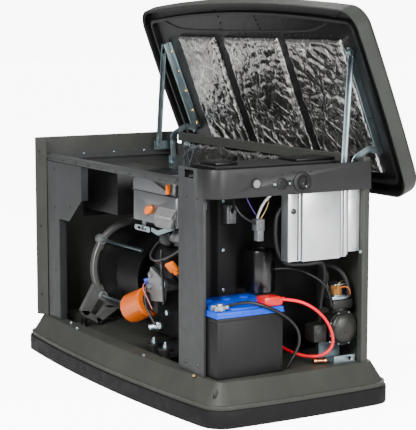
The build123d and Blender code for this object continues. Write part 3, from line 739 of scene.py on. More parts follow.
def rod(form: Form, radius: float, length: float, place: Matrix, steps: int) -> None:
    """Add a plain cylinder.

    Args:
        form: Target geometry.
        radius: Its radius.
        length: Its length.
        place: Where its foot stands.
        steps: Number of segments round.

    Returns:
        None.
    """
    lathe(form, ((0, 0), (radius, 0), (radius, length), (0, length)), place, steps)


def at(x: float, y: float, z: float) -> Matrix:
    """Give the upright placement at a point. Args: x, y, z: point. Returns: Matrix."""
    return Matrix.Translation((x, y, z))


def circle_spot(centre: Point, radius: float, angle_deg: float) -> Point:
    """Give a point of a circle that faces the service end.

    Args:
        centre: Centre of the circle.
        radius: Its radius.
        angle_deg: Angle from the +Y side.

    Returns:
        The point.
    """
    turn = math.radians(angle_deg)
    return centre[0], centre[1] + radius * math.cos(turn), centre[2] + radius * math.sin(turn)


def keep_hidden(name: str, mesh: bpy.types.Mesh) -> Thing:
    """Keep a mesh as a hidden object that is copied elsewhere.

    Args:
        name: Object name.
        mesh: Its mesh.

    Returns:
        The hidden object.
    """
    part = bpy.data.objects.new(name, mesh)
    bpy.context.scene.collection.objects.link(part)
    part.hide_render = True
    part.hide_viewport = True
    return part


def close_sheet(form: Form, grid: Grid, foot_spot: FootRule) -> None:
    """Face a grid of points and close it with a rim and a flat back.

    Args:
        form: Geometry that holds the grid.
        grid: Rows of points.
        foot_spot: Gives the point of the back below a point of the rim.

    Returns:
        None.
    """
    for low, high in zip(grid, grid[1:]):
        for j in range(len(low) - 1):
            form.faces.new((low[j], low[j + 1], high[j + 1], high[j]))
    rim = grid[0][:] + [row[-1] for row in grid[1:]] + grid[-1][-2::-1] + [row[0] for row in grid[-2:0:-1]]
    foot = [form.verts.new(foot_spot(v.co)) for v in rim]
    for i in range(len(rim)):
        j = (i + 1) % len(rim)
        form.faces.new((rim[i], foot[i], foot[j], rim[j]))
    form.faces.new(foot)


def facing(spot: Point, direction: Point) -> Matrix:
    """Give the placement whose Z axis points along a direction.

    Args:
        spot: Origin.
        direction: Direction of the local Z axis.

    Returns:
        The placement matrix.
    """
    turn = Vector(direction).to_track_quat("Z", "Y").to_matrix().to_4x4()
    return Matrix.Translation(spot) @ turn


HINGE = Vector((0, 0.226, 0.580))
OPENING = Matrix.Translation(HINGE) @ Matrix.Rotation(math.radians(-LID_SWING_DEG), 4,
                                                      "X") @ Matrix.Translation(-HINGE)


# ------------------------------------------------------------------ repeated small parts
@dataclass
class Scatter:
    """Geometry Nodes that stand one part on many points.

    Attributes:
        group: The node group, made on first use.
    """

    group: bpy.types.NodeTree | None = None

    def tree(self) -> bpy.types.NodeTree:
        """Give the node group.

        Args:
            None.

        Returns:
            The node group.
        """
        if self.group:
            return self.group
        tree = bpy.data.node_groups.new("scatter", "GeometryNodeTree")
        for name, way, kind in (("Geometry", "INPUT", "NodeSocketGeometry"),
                                ("Part", "INPUT", "NodeSocketObject"), ("Size", "INPUT", "NodeSocketFloat"),
                                ("Finish", "INPUT", "NodeSocketMaterial"),
                                ("Geometry", "OUTPUT", "NodeSocketGeometry")):
            tree.interface.new_socket(name, in_out=way, socket_type=kind)
        start = tree.nodes.new("NodeGroupInput")
        end = tree.nodes.new("NodeGroupOutput")
        part = tree.nodes.new("GeometryNodeObjectInfo")
        facing_way = tree.nodes.new("GeometryNodeInputNamedAttribute")
        facing_way.data_type = "FLOAT_VECTOR"
        facing_way.inputs["Name"].default_value = "facing"
        align = tree.nodes.new("FunctionNodeAlignRotationToVector")
        align.axis = "Z"
        copies = tree.nodes.new("GeometryNodeInstanceOnPoints")
        real = tree.nodes.new("GeometryNodeRealizeInstances")
        paint = tree.nodes.new("GeometryNodeSetMaterial")
        tree.links.new(start.outputs["Part"], part.inputs["Object"])
        tree.links.new(facing_way.outputs["Attribute"], align.inputs["Vector"])
        tree.links.new(start.outputs["Geometry"], copies.inputs["Points"])
        tree.links.new(part.outputs["Geometry"], copies.inputs["Instance"])
        tree.links.new(align.outputs["Rotation"], copies.inputs["Rotation"])
        tree.links.new(start.outputs["Size"], copies.inputs["Scale"])
        tree.links.new(copies.outputs["Instances"], real.inputs["Geometry"])
        tree.links.new(real.outputs["Geometry"], paint.inputs["Geometry"])
        tree.links.new(start.outputs["Finish"], paint.inputs["Material"])
        tree.links.new(paint.outputs["Geometry"], end.inputs["Geometry"])
        self.group = tree
        return tree

    def place(self, name: str, spots: Sequence[tuple[Point, Point]], part: Thing, size: float, finish: Finish,
              body: str = "enclosure") -> Thing:
        """Stand copies of a part on the given points.

        Args:
            name: Piece name.
            spots: Place and direction of each copy.
            part: The part, of unit radius, standing on its origin.
            size: Scale of each copy.
            finish: Its finish.
            body: CAD body that they ride on.

        Returns:
            The joined piece.
        """
        points = bpy.data.meshes.new(name + "_points")
        points.from_pydata([spot for spot, _ in spots], [], [])
        way = points.attributes.new("facing", "FLOAT_VECTOR", "POINT")
        way.data.foreach_set("vector", [c for _, direction in spots for c in direction])
        holder = bpy.data.objects.new(name + "_points", points)
        bpy.context.scene.collection.objects.link(holder)
        tree = self.tree()
        modifier = holder.modifiers.new("scatter", "NODES")
        modifier.node_group = tree
        keys = {item.name: item.identifier for item in tree.interface.items_tree if item.in_out == "INPUT"}
        modifier[keys["Part"]] = part
        modifier[keys["Size"]] = size
        modifier[keys["Finish"]] = finish.build()
        holder.update_tag()
        bpy.context.view_layer.update()
        made = bpy.data.meshes.new_from_object(holder.evaluated_get(bpy.context.evaluated_depsgraph_get()))
        bpy.data.objects.remove(holder)
        made.name = name
        return link(name, made, body, finish)


SCATTER = Scatter()


class Part(Enum):
    """Small parts that repeat."""

    HEX_SCREW = "hex_screw"
    PAN_SCREW = "pan_screw"
    RIVET = "rivet"
    RIM_BOLT = "rim_bolt"
    DIMPLE = "dimple"


def small_part(kind: Part) -> Thing:
    """Make a small part of unit radius.

    Args:
        kind: Which part.

    Returns:
        A hidden object to be copied.
    """
    form = bmesh.new()
    flat = Matrix.Identity(4)
    if kind is Part.HEX_SCREW:
        lathe(form, ((0, 0), (1.35, 0), (1.35, 0.12), (1.2, 0.22), (0.98, 0.24), (0, 0.24)), flat, 28)
        lathe(form, ((0, 0.2), (0.95, 0.2), (0.95, 0.78), (0.84, 0.92), (0.5, 0.94), (0.42, 0.82), (0, 0.82)),
              flat, 6)
    elif kind is Part.PAN_SCREW:
        lathe(form, ((0, 0), (1, 0), (0.99, 0.22), (0.8, 0.46), (0.42, 0.56), (0, 0.58)), flat, 24)
        for turn in (0, math.pi / 2):
            slab(form, (-0.5, -0.09, 0.40), (0.5, 0.09, 0.60), Matrix.Rotation(turn, 4, "Z"), 0.02)
    elif kind is Part.RIVET:
        lathe(form, ((0, 0), (1, 0), (0.97, 0.2), (0.72, 0.42), (0.35, 0.5), (0.3, 0.36), (0, 0.36)), flat,
              20)
    elif kind is Part.RIM_BOLT:
        lathe(form, ((0, 0), (1, 0), (1, 0.7), (0.85, 0.85), (0, 0.9)), flat, 6)
    else:
        lathe(form, ((0, 0), (1, 0), (0.8, 0.3), (0, 0.4)), flat, 10)
    bmesh.ops.remove_doubles(form, verts=form.verts, dist=MERGE)
    bmesh.ops.recalc_face_normals(form, faces=form.faces)
    mesh = bpy.data.meshes.new(kind.value)
    form.to_mesh(mesh)
    form.free()
    mesh.shade_smooth()
    mesh.set_sharp_from_angle(angle=ROUNDED_ANGLE)
    return keep_hidden(kind.value + "_part", mesh)


def prism(form: Form, outline: Sequence[Point], depth: Point) -> None:
    """Extrude a closed outline.

    Args:
        form: Mesh being made.
        outline: Corners in order.
        depth: Extrusion vector.

    Returns:
        None.
    """
    low = [form.verts.new(Vector(spot)) for spot in outline]
    high = [form.verts.new(Vector(spot) + Vector(depth)) for spot in outline]
    count = len(outline)
    sides = [form.faces.new((low[i], low[(i + 1) % count], high[(i + 1) % count], high[i]))
             for i in range(count)]
    ends = [form.faces.new(low), form.faces.new(high)]
    bmesh.ops.recalc_face_normals(form, faces=sides + ends)


@dataclass
class Fasteners:
    """Screws and rivets of the enclosure, lid and engine."""

    def build(self) -> None:
        """Build the fasteners.

        Args:
            None.

        Returns:
            None.
        """
        hexes, pans, rivets = (small_part(kind) for kind in (Part.HEX_SCREW, Part.PAN_SCREW, Part.RIVET))
        corner = (0.492, -0.871, 0.0)
        dark = [((-0.524, -0.250, z), corner) for z in (0.180, 0.400, 0.640)]
        dark += [((x, -0.239, z), OUT) for x, z in ((-0.440, 0.270), (-0.440, 0.470), (-0.330, 0.480),
                                                    (-0.440, 0.590), (0.380, 0.140), (0.440, 0.140),
                                                    (0.380, 0.590), (0.440, 0.590))]
        screws = SCATTER.place("panel_screws_look", dark, pans, 0.0048, DARK_SCREW)
        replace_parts(screws, "panel_screws")
        bright = [((0.326, -0.088, z), EAST) for z in (0.312, 0.424, 0.560)]
        bright += [((x, -0.187, 0.585), OUT) for x in (0.030, 0.115, 0.200)]
        bright += [((BAND_FACE, y, 0.627), EAST) for y in (-0.068, -0.022)]
        bright += [((0.5302, 0.214, 0.4325), EAST), ((0.546, 0.218, 0.425), EAST)]
        SCATTER.place("flange_screw", [((0.5296, 0.006, 0.548), EAST)], pans, 0.0078, DARK_SCREW)
        SCATTER.place("bright_screws", bright, hexes, 0.0036, ZINC)
        rails = [((-0.5428, -0.195 + 0.037 * i, 0.624), EAST) for i in range(12)]
        rails += [((-0.470 + 0.088 * i, -0.237, 0.619), OUT) for i in range(10)]
        riveted = SCATTER.place("rail_rivets_look", rails[:12:3], rivets, 0.0040, ZINC)
        SCATTER.place("rail_rivets_dark", [spot for i, spot in enumerate(rails) if i > 11 or i % 3], rivets,
                      0.0036, FRAME_GRAY)
        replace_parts(riveted, "rail_rivets")
        down = OPENING.to_3x3() @ Vector((0, 0, -1))
        lid = [(tuple(OPENING @ Vector((side * 0.494, y, 0.7088))), tuple(down)) for side in (-1, 1)
               for y in (-0.120, -0.050, 0.020, 0.090, 0.135)]
        SCATTER.place("lid_brass_screws", lid, hexes, 0.0042, BRASS, "lid")
        deck = [((x, y, DECK_Z), UP) for x, y in ((-0.345, -0.232), (-0.262, -0.252), (0.165, -0.252))]
        SCATTER.place("deck_screws", deck, hexes, 0.0048, ZINC)
        SCATTER.place("post_foot_screw", [((0.445, -0.252, DECK_Z), UP)], hexes, 0.0045, BRASS)
        places = [(-0.15 + 0.012 * math.sin(i), -0.262 + 0.021 * i) for i in range(5)]
        places += [(0.060 + 0.003 * i, -0.255 + 0.013 * i) for i in range(5)]
        places += [(x, -0.165 + 0.03 * i) for x in (-0.164, 0.182) for i in range(12)]
        places += [(-0.05 + 0.034 * i, -0.184) for i in range(15)]
        holes = [(tuple(OPENING @ Vector((x, y, LINER_Z))), tuple(down)) for x, y in places]
        SCATTER.place("liner_studs", holes, pans, 0.0035, BLACK, "lid")
        LOG.info("fasteners ready")


# ------------------------------------------------------------------ cords
@dataclass
class Cable:
    """A cable or hose along its route.

    Attributes:
        name: Piece name.
        route: Route points in metres.
        radius: Cable radius.
        finish: Its finish.
        node: CAD node that it stands for, if any.
        body: CAD body that it rides on.
    """

    name: str
    route: Sequence[Point]
    radius: float
    finish: Finish
    node: str = ""
    body: str = "enclosure"

    def build(self) -> Thing:
        """Build the curve.

        Args:
            None.

        Returns:
            The cable piece.
        """
        data = bpy.data.curves.new(self.name, "CURVE")
        data.dimensions = "3D"
        data.bevel_depth = self.radius
        data.bevel_resolution = 4
        data.resolution_u = 10
        data.use_fill_caps = True
        line = data.splines.new("NURBS")
        line.points.add(len(self.route) - 1)
        for spot, place in zip(line.points, self.route):
            spot.co = (*place, 1.0)
        line.order_u = 3
        line.use_endpoint_u = True
        data.materials.append(self.finish.build())
        thing = bpy.data.objects.new(self.name, data)
        bpy.context.scene.collection.objects.link(thing)
        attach(thing, self.body)
        if self.node:
            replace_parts(thing, self.node)
        return thing


@dataclass
class Cords:
    """Battery cables, hoses and loom that repeat the CAD routes.

    Attributes:
        negative: Route of the black cable.
        positive: Route of the red cable.
        hose: Route of the fuel hose.
        breather: Route of the breather hose.
        loom: Route of the wiring loom.
    """

    negative: Sequence[Point] = (
        (0.500, -0.186, 0.305), (0.516, -0.140, 0.318), (0.535, -0.088, 0.304), (0.537, -0.028, 0.274),
        (0.536, 0.016, 0.236), (0.532, 0.030, 0.192), (0.520, 0.018, 0.152), (0.508, 0.002, 0.118))
    positive: Sequence[Point] = (
        (0.500, -0.019, 0.308), (0.518, 0.022, 0.306), (0.534, 0.066, 0.286), (0.537, 0.110, 0.248),
        (0.537, 0.134, 0.204), (0.536, 0.136, 0.166), (0.520, 0.112, 0.140), (0.480, 0.084, 0.134),
        (0.430, 0.066, 0.140), (0.380, 0.060, 0.150), (0.329, 0.064, 0.164))
    hose: Sequence[Point] = ((0.330, 0.150, 0.372), (0.430, 0.152, 0.382), (0.496, 0.212, 0.366),
                             (0.498, 0.214, 0.294))
    breather: Sequence[Point] = (
        (0.405, 0.031, 0.372), (0.438, 0.063, 0.378), (0.480, 0.092, 0.366), (0.520, 0.120, 0.340),
        (0.524, 0.134, 0.300),
        (0.518, 0.142, 0.276))
    loom: Sequence[Point] = (
        (0.3664, -0.179, 0.562), (0.388, -0.172, 0.585), (0.398, -0.140, 0.600), (0.396, -0.104, 0.588),
        (0.380, -0.082, 0.560), (0.3524, -0.077, 0.530))

    def build(self) -> None:
        """Build the cords.

        Args:
            None.

        Returns:
            None.
        """
        black = Cable("negative_cable_look", self.negative, 0.0045, CABLE_BLACK, "negative_cable").build()
        red = Cable("positive_cable_look", self.positive, 0.0045, CABLE_RED, "positive_cable").build()
        Cable("fuel_hose_look", self.hose, 0.008, RUBBER, "fuel_hoses").build()
        Cable("breather_hose_look", self.breather, 0.004, RUBBER).build()
        Cable("wiring_loom_look", self.loom, 0.004, RUBBER, "wiring_loom").build()
        LOG.info("cords ready: %s, %s", black.name, red.name)


# ------------------------------------------------------------------ lid
@dataclass
class LidDress:
    """Crinkled pads, rounded liner and hinges of the lid.

    Attributes:
        pads: Low and high side of each pad.
        front: Pad edge at the door side.
        rear: Pad edge at the hinge side.
        face_z: Height of the pads' face with the lid closed.
        back_z: Height of the pads' back with the lid closed.
        step: Grid spacing of the foil.
    """

    pads: Sequence[tuple[float, float]] = ((-0.411, -0.191), (-0.137, 0.160), (0.204, 0.476))
    front: float = -0.177
    rear: float = 0.225
    face_z: float = 0.699
    back_z: float = LINER_Z
    step: float = 0.0042

    @staticmethod
    def crinkle(x: float, y: float, seed: float) -> float:
        """Height of the crumpled foil.

        Args:
            x: Place along the pad.
            y: Place across the pad.
            seed: Offset that makes each pad differ.

        Returns:
            Height in metres, from 0 up.
        """
        warp = noise.noise(Vector((x * 9, y * 9, seed)))
        spot = Vector((x * 17 + warp * 1.4, y * 24 + warp, seed))
        near, _ = noise.voronoi(spot)
        fold = min(1.0, 2.2 * (near[1] - near[0]))
        fine_near, _ = noise.voronoi(Vector((x * 46 + warp, y * 60, seed + 3.1)))
        fine = min(1.0, 1.8 * (fine_near[1] - fine_near[0]))
        swell = noise.noise(Vector((x * 6, y * 6, seed + 7.7)))
        return 0.0042 * fold + 0.0019 * fine + 0.0035 * swell

    def pad(self, index: int, x0: float, x1: float) -> Thing:
        """Build one crumpled pad.

        Args:
            index: Number of the pad.
            x0: Low side.
            x1: High side.

        Returns:
            The pad.
        """
        form = bmesh.new()
        across = round((x1 - x0) / self.step)
        along = round((self.rear - self.front) / self.step)
        grid = []
        for i in range(across + 1):
            row = []
            for j in range(along + 1):
                x = x0 + (x1 - x0) * i / across
                y = self.front + (self.rear - self.front) * j / along
                rim = min(i, j, across - i, along - j)
                drop = max(0.0, 1 - rim / 3.0) ** 2 * 0.007
                height = self.crinkle(x, y, 5.0 * index)
                row.append(form.verts.new((x, y, min(self.back_z - 0.001,
                                                     self.face_z + drop - height * 0.9))))
            grid.append(row)
        close_sheet(form, grid, lambda spot: (spot.x, spot.y, self.back_z))
        form.transform(OPENING)
        piece = solid("lid_pad_%d" % index, form, FOIL, "lid", 60)
        return piece

    def build(self) -> None:
        """Build the lid's details.

        Args:
            None.

        Returns:
            None.
        """
        made = [self.pad(i, x0, x1) for i, (x0, x1) in enumerate(self.pads)]
        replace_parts(made[0], "lid_pads")
        for node, width, finish in (("lid_liner", 0.003, BLACK), ("hinge_arm_near", 0.0008, ZINC),
                                    ("hinge_arm_far", 0.0008, ZINC), ("stay_near", 0.0006, ZINC),
                                    ("stay_far", 0.0006, ZINC)):
            soften(node, width, finish)
        bead = ((-0.555, -0.262), (-0.500, -0.232), (-0.430, -0.205), (-0.360, -0.196), (-0.200, -0.194),
                (0.0, -0.194), (0.200, -0.194), (0.330, -0.197), (0.400, -0.212), (0.460, -0.238),
                (0.530, -0.262))
        Cable("liner_bead", [tuple(OPENING @ Vector((x, y, 0.7135))) for x, y in bead], 0.0042, BAND,
              body="lid").build()
        LOG.info("lid ready: %d pads", len(made))


@dataclass
class FoilBoards:
    """Foil-faced boards on the back panel, and the ribbed tray on top.

    Attributes:
        step: Grid spacing of the foil.
    """

    step: float = 0.006

    def board(self, name: str, low: Point, high: Point, seed: float) -> Thing:
        """Build a crumpled board that faces the door side.

        Args:
            name: Piece name.
            low: Low corner.
            high: High corner.
            seed: Offset of the creases.

        Returns:
            The board.
        """
        form = bmesh.new()
        across = round((high[0] - low[0]) / self.step)
        rise = round((high[2] - low[2]) / self.step)
        grid = []
        for i in range(across + 1):
            row = []
            for j in range(rise + 1):
                x = low[0] + (high[0] - low[0]) * i / across
                z = low[2] + (high[2] - low[2]) * j / rise
                edge = max(0.0, 1 - min(i, j, across - i, rise - j) / 2.0) * 0.004
                bulge = LidDress.crinkle(x, z, seed)
                row.append(form.verts.new((x,
                                           max(low[1], min(high[1] - 0.001, low[1] + 0.008 + edge - bulge)),
                                           z)))
            grid.append(row)
        close_sheet(form, grid, lambda spot: (spot.x, high[1], spot.z))
        piece = solid(name, form, FOIL, sharp_deg=60)
        return piece

    def build(self) -> None:
        """Build the boards and the tray.

        Args:
            None.

        Returns:
            None.
        """
        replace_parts(self.board("rear_foil_look", (-0.470, 0.234, 0.300), (0.300, 0.2478, 0.655), 21.0),
                    "rear_foil_panel")
        self.board("service_foil", (0.302, 0.236, 0.560), (0.470, 0.2478, 0.676), 33.0)
        rib = bmesh.new()
        slab(rib, (-0.0035, -0.200, 0), (0.0035, 0.200, 0.006), edge=0.0015)
        mesh = bpy.data.meshes.new("tray_rib")
        rib.to_mesh(mesh)
        rib.free()
        part = keep_hidden("tray_rib_part", mesh)
        rows = [((0.358 + 0.0165 * i, -0.004, 0.667), UP) for i in range(8)]
        SCATTER.place("tray_ribs", rows, part, 1.0, BAND)
        clutter = bmesh.new()
        slab(clutter, (0.368, -0.190, 0.672), (0.452, -0.120, 0.682), edge=0.004)
        slab(clutter, (0.372, 0.060, 0.672), (0.462, 0.190, 0.681), edge=0.004)
        solid("tray_blocks", clutter, BLACK)
        LOG.info("foil boards and tray ready")


# ------------------------------------------------------------------ enclosure
@dataclass
class EnclosureDress:
    """Rounded looks of the enclosure's sheet metal and mouldings.

    Attributes:
        edges: Edge radius and finish of each CAD node.
    """

    edges: dict[str, tuple[float, Finish]] = field(default_factory=lambda: {
        "base_skirt": (0.003, SKIRT_BLACK), "base_pan": (0.003, BASE_GRAY),
        "front_frame_plate": (0.0007, FRAME_GRAY),
        "front_top_rail": (0.0010, FRAME_GRAY), "middle_post": (0.0008, FRAME_GRAY),
        "top_band": (0.0014, BAND), "air_duct": (0.004, BLACK)})

    def build(self) -> None:
        """Build the rounded looks.

        Args:
            None.

        Returns:
            None.
        """
        for node, (width, finish) in self.edges.items():
            soften(node, width, finish)
        LOG.info("enclosure ready: %d pieces", len(self.edges))


# ------------------------------------------------------------------ service bay
@dataclass
class BatteryDress:
    """Battery with moulded lid, dimpled corners and clamped terminals.

    Attributes:
        low: Low corner of the case.
        high: High corner of the case.
        post_x: X of the two posts.
        post_z: Height of the posts' foot.
    """

    low: Point = (0.351, -0.228, 0.114)
    high: Point = (0.524, -0.020, 0.278)
    post_x: float = 0.500
    post_z: float = 0.2955

    def case(self) -> None:
        """Build the case and its dimples.

        Args:
            None.

        Returns:
            None.
        """
        x0, y0, z0 = self.low
        x1, y1, z1 = self.high
        form = bmesh.new()
        slab(form, (x0, y0, z0), (x1, y1, z1), edge=0.005)
        slab(form, (x0 - 0.001, y0 - 0.0008, z1 - 0.010), (x1 + 0.0008, y1 + 0.0008, z1), edge=0.002)
        stand_in("battery_case", form, BATTERY_BLACK)
        dimple = small_part(Part.DIMPLE)
        spots = [((x1, y, z0 + 0.012 + 0.006 * i), EAST) for i in range(23)
                 for y in (y0 + 0.010, y0 + 0.016, y1 - 0.014)]
        spots += [((x, y0, z0 + 0.012 + 0.006 * i), OUT) for i in range(23) for x in (x1 - 0.010, x1 - 0.016)]
        SCATTER.place("battery_dimples", spots, dimple, 0.0017, BATTERY_BLACK)

    def lid(self) -> None:
        """Build the blue lid.

        Args:
            None.

        Returns:
            None.
        """
        x0, y0, _ = self.low
        x1, y1, z1 = self.high
        form = bmesh.new()
        blocks(form, (
            ((x0 - 0.001, y0 - 0.001, z1 + 0.0002), (x1 + 0.001, y1 + 0.001, z1 + 0.0165), 0.0035),
            ((x0 - 0.002, y0 - 0.002, z1 + 0.0005), (x1 + 0.002, y1 + 0.002, z1 + 0.006), 0.0015),
            ((x0 + 0.008, y0 + 0.008, z1 + 0.016), (x1 - 0.048, y1 - 0.008, z1 + 0.0262), 0.003),
            ((x1 - 0.046, y0 + 0.048, z1 + 0.016), (x1 - 0.006, y1 - 0.062, z1 + 0.0225), 0.003),
        ))
        for y in (-0.150, -0.120):
            slab(form, (x1 - 0.004, y - 0.0012, z1 + 0.006), (x1 + 0.0022, y + 0.0012, z1 + 0.015),
                 edge=0.0005)
        for i in range(3):
            y = y0 + 0.040 + i * 0.058
            lathe(form, ((0, 0), (0.014, 0), (0.014, 0.003), (0.012, 0.004), (0, 0.004)),
                  at(x0 + 0.055, y, z1 + 0.0262), 24)
        slab(form, (x1 - 0.050, y0 + 0.075, z1 + 0.022), (x1 - 0.042, y1 - 0.055, z1 + 0.030), edge=0.002)
        stand_in("battery_lid", form, BATTERY_BLUE)

    def terminals(self) -> None:
        """Build the posts, clamps and the red cover.

        Args:
            None.

        Returns:
            None.
        """
        form = bmesh.new()
        base = self.post_z
        for y in (-0.205, -0.046):
            lathe(form, ((0, 0), (0.0092, 0), (0.0086, 0.017), (0.0078, 0.0185), (0, 0.0185)),
                  at(self.post_x, y, base), 24)
            lathe(form, ((0.0095, 0.002), (0.0140, 0.002), (0.0140, 0.012), (0.0095, 0.012), (0.0095, 0.002)),
                  at(self.post_x, y, base), 28)
        slab(form, (0.495, -0.220, base + 0.002), (0.4985, -0.2175, base + 0.016), edge=0.0006)
        for x in (0.490, 0.510):
            slab(form, (x - 0.003, -0.226, base + 0.001), (x + 0.003, -0.196, base + 0.014), edge=0.001)
        slab(form, (0.493, -0.192, base + 0.002), (0.507, -0.180, base + 0.013), edge=0.002)
        lathe(form, ((0, 0), (0.0028, 0), (0.0028, 0.030), (0, 0.030)), facing((0.485, -0.219, base + 0.009),
                                                                               EAST), 12)
        rod(form, 0.0052, 0.004, facing((0.513, -0.219, base + 0.009), EAST), 6)
        stand_in("battery_terminals", form, LEAD)
        cover = bmesh.new()
        slab(cover, (0.479, -0.078, base), (0.521, -0.026, base + 0.025), edge=0.004)
        slab(cover, (0.484, -0.029, base + 0.001), (0.518, -0.018, base + 0.019), edge=0.003)
        lathe(cover, ((0, 0), (0.0072, 0), (0.0060, 0.016), (0, 0.016)), facing((0.501, -0.020, 0.3082),
                                                                                (0.35, 0.9, 0)), 18)
        stand_in("positive_cover", cover, RED)

    def build(self) -> None:
        """Build the battery.

        Args:
            None.

        Returns:
            None.
        """
        self.case()
        self.lid()
        self.terminals()
        LOG.info("battery ready")


@dataclass
class ControlDress:
    """Bright control box with folded flanges, and near-black strips in the grooves between them as painted
    shade.
    """

    def build(self) -> None:
        """Build the control box.

        Args:
            None.

        Returns:
            None.
        """
        form = bmesh.new()
        blocks(form, (
            ((0.494, -0.006, 0.412), (0.5275, 0.183, 0.560), 0.001),
            ((0.494, -0.008, 0.412), (0.5275, -0.005, 0.640), 0.0008),
            ((0.5265, 0.033, 0.410), (0.5345, 0.158, 0.655), 0.003),
            ((0.5262, -0.010, 0.425), (0.5295, 0.020, 0.655), 0.0012),
            ((0.5262, 0.0225, 0.414), (0.5315, 0.0300, 0.655), 0.0012),
            ((0.5262, 0.1610, 0.416), (0.5315, 0.1680, 0.655), 0.0012),
            ((0.5262, 0.1705, 0.418), (0.5325, 0.1830, 0.655), 0.0012),
            ((0.5262, 0.1865, 0.425), (0.5300, 0.2245, 0.570), 0.0012),
            ((0.5262, 0.1865, 0.425), (0.5298, 0.2245, 0.655), 0.0012),
        ))
        stand_in("control_box", form, ALUMINIUM)
        # Painted shade: a thin darker skin of brushed metal lies over the box's -Y side, to make that side
        # look shaded.
        side = bmesh.new()
        slab(side, (0.495, -0.0095, 0.4135), (0.5255, -0.0078, 0.640), edge=0.0006)
        slab(side, (0.5255, -0.0105, 0.4135), (0.5275, -0.0078, 0.655), edge=0.0006)
        solid("control_box_side", side, Finish("side_shade_gray", (0.16, 0.165, 0.17), 0.4, 0.6, Grain.BRUSHED))
        # Painted shade: near-black slabs fill the grooves between the flanges, where shade falls.
        groove_shade = bmesh.new()
        for y in (0.0215, 0.0315, 0.1595, 0.1692, 0.1848):
            slab(groove_shade, (0.5255, y - 0.0012, 0.4145), (0.5292, y + 0.0012, 0.655), edge=0.0003)
        solid("control_box_grooves", groove_shade, DARK_STEEL_AND_SHADE)
        LOG.info("control box ready")


@dataclass
class RegulatorDress:
    """Gas regulator with a bolted dome, solenoid and valve.

    Attributes:
        centre: Centre of the dome's foot.
        first_bolt_deg: Angle of the first rim bolt.
    """

    centre: Point = (0.512, 0.188, 0.209)
    first_bolt_deg: float = 22.5

    def build(self) -> None:
        """Build the regulator.

        Args:
            None.

        Returns:
            None.
        """
        x, y, z = self.centre
        body = bmesh.new()
        slab(body, (0.452, 0.150, 0.172), (0.500, 0.222, 0.246), edge=0.008)
        lathe(body, ((0, 0), (0.0485, 0), (0.0490, 0.004), (0.0490, 0.010), (0.0475, 0.0125), (0, 0.0125)),
              facing((0.4995, y, z), EAST), 48)
        for i in range(8):
            lathe(body, ((0, 0), (0.0055, 0), (0.0055, 0.012), (0.004, 0.0132), (0, 0.0132)),
                  facing(circle_spot((0.4998, y, z), 0.0450, self.first_bolt_deg + 45 * i), EAST), 16)
        lathe(body, ((0, 0), (0.024, 0), (0.026, 0.012), (0.020, 0.030), (0.021, 0.046), (0, 0.046)),
              at(0.484, 0.188, 0.244), 32)
        slab(body, (0.460, 0.152, 0.262), (0.511, 0.222, 0.289), edge=0.006)
        slab(body, (0.466, 0.086, 0.176), (0.516, 0.132, 0.228), edge=0.009)
        lathe(body, ((0, 0), (0.017, 0), (0.017, 0.003), (0.012, 0.005), (0, 0.006)),
              facing((0.514, 0.109, 0.202), EAST), 28)
        rod(body, 0.012, 0.022, facing((0.485, 0.130, z), (0, 1, 0)), 20)
        stand_in("regulator_body", body, REGULATOR)
        dome = bmesh.new()
        profile = [(0.0, 0.0), (0.0440, 0.0), (0.0445, 0.003)]
        profile += [(0.0435 * math.cos(math.radians(t)) + 0.0005, 0.003 + 0.0165 * math.sin(math.radians(t)))
                    for t in range(0, 90, 9)]
        profile.append((0.0, 0.0195))
        lathe(dome, profile, facing((x, y, z), EAST), 56)
        stand_in("regulator_dome", dome, OLIVE, sharp_deg=50)
        bolt = small_part(Part.RIM_BOLT)
        rim = [(circle_spot((0.5122, y, z), 0.0465, self.first_bolt_deg + 45 * i), EAST) for i in range(8)]
        SCATTER.place("regulator_bolts", rim, bolt, 0.0024, ZINC)
        vents = [((0.5314, y - 0.004 + 0.009 * a, z - 0.004 + 0.009 * b), EAST) for a in (-0.5, 0.5)
                 for b in (-0.5, 0.5)]
        SCATTER.place("regulator_vents", vents, bolt, 0.0012, RUBBER)
        coil = bmesh.new()
        slab(coil, (0.470, 0.150, 0.2902), (0.512, 0.204, 0.299), edge=0.0015)
        for zz, half in ((0.299, 0.018), (0.330, 0.018)):
            slab(coil, (0.491 - half, 0.177 - half, zz), (0.491 + half, 0.177 + half, zz + 0.003), edge=0.001)
        slab(coil, (0.4725, 0.159, 0.299), (0.4745, 0.195, 0.333), edge=0.0006)
        stand_in("fuel_solenoid", coil, ZINC)
        winding = bmesh.new()
        turns = [(0.0, 0.302)]
        for i in range(18):
            turns += [(0.0150, 0.302 + 0.0015 * i), (0.0157, 0.30275 + 0.0015 * i)]
        turns += [(0.0150, 0.3295), (0.0, 0.3295)]
        lathe(winding, turns, at(0.491, 0.177, 0), 28)
        solid("solenoid_winding", winding, Finish("winding", (0.42, 0.22, 0.07), 0.35, 0.5, Grain.SMOOTH))
        soften("regulator_bracket", 0.0008, ZINC)
        Cable("solenoid_lead_red", ((0.506, 0.177, 0.322), (0.522, 0.190, 0.330), (0.520, 0.205, 0.312),
                                    (0.505, 0.215, 0.300)), 0.0012, ORANGE).build()
        Cable("solenoid_lead_gold", ((0.502, 0.165, 0.318), (0.520, 0.160, 0.335), (0.512, 0.186, 0.345),
                                     (0.495, 0.206, 0.336)), 0.0012, BRASS).build()
        LOG.info("regulator ready")


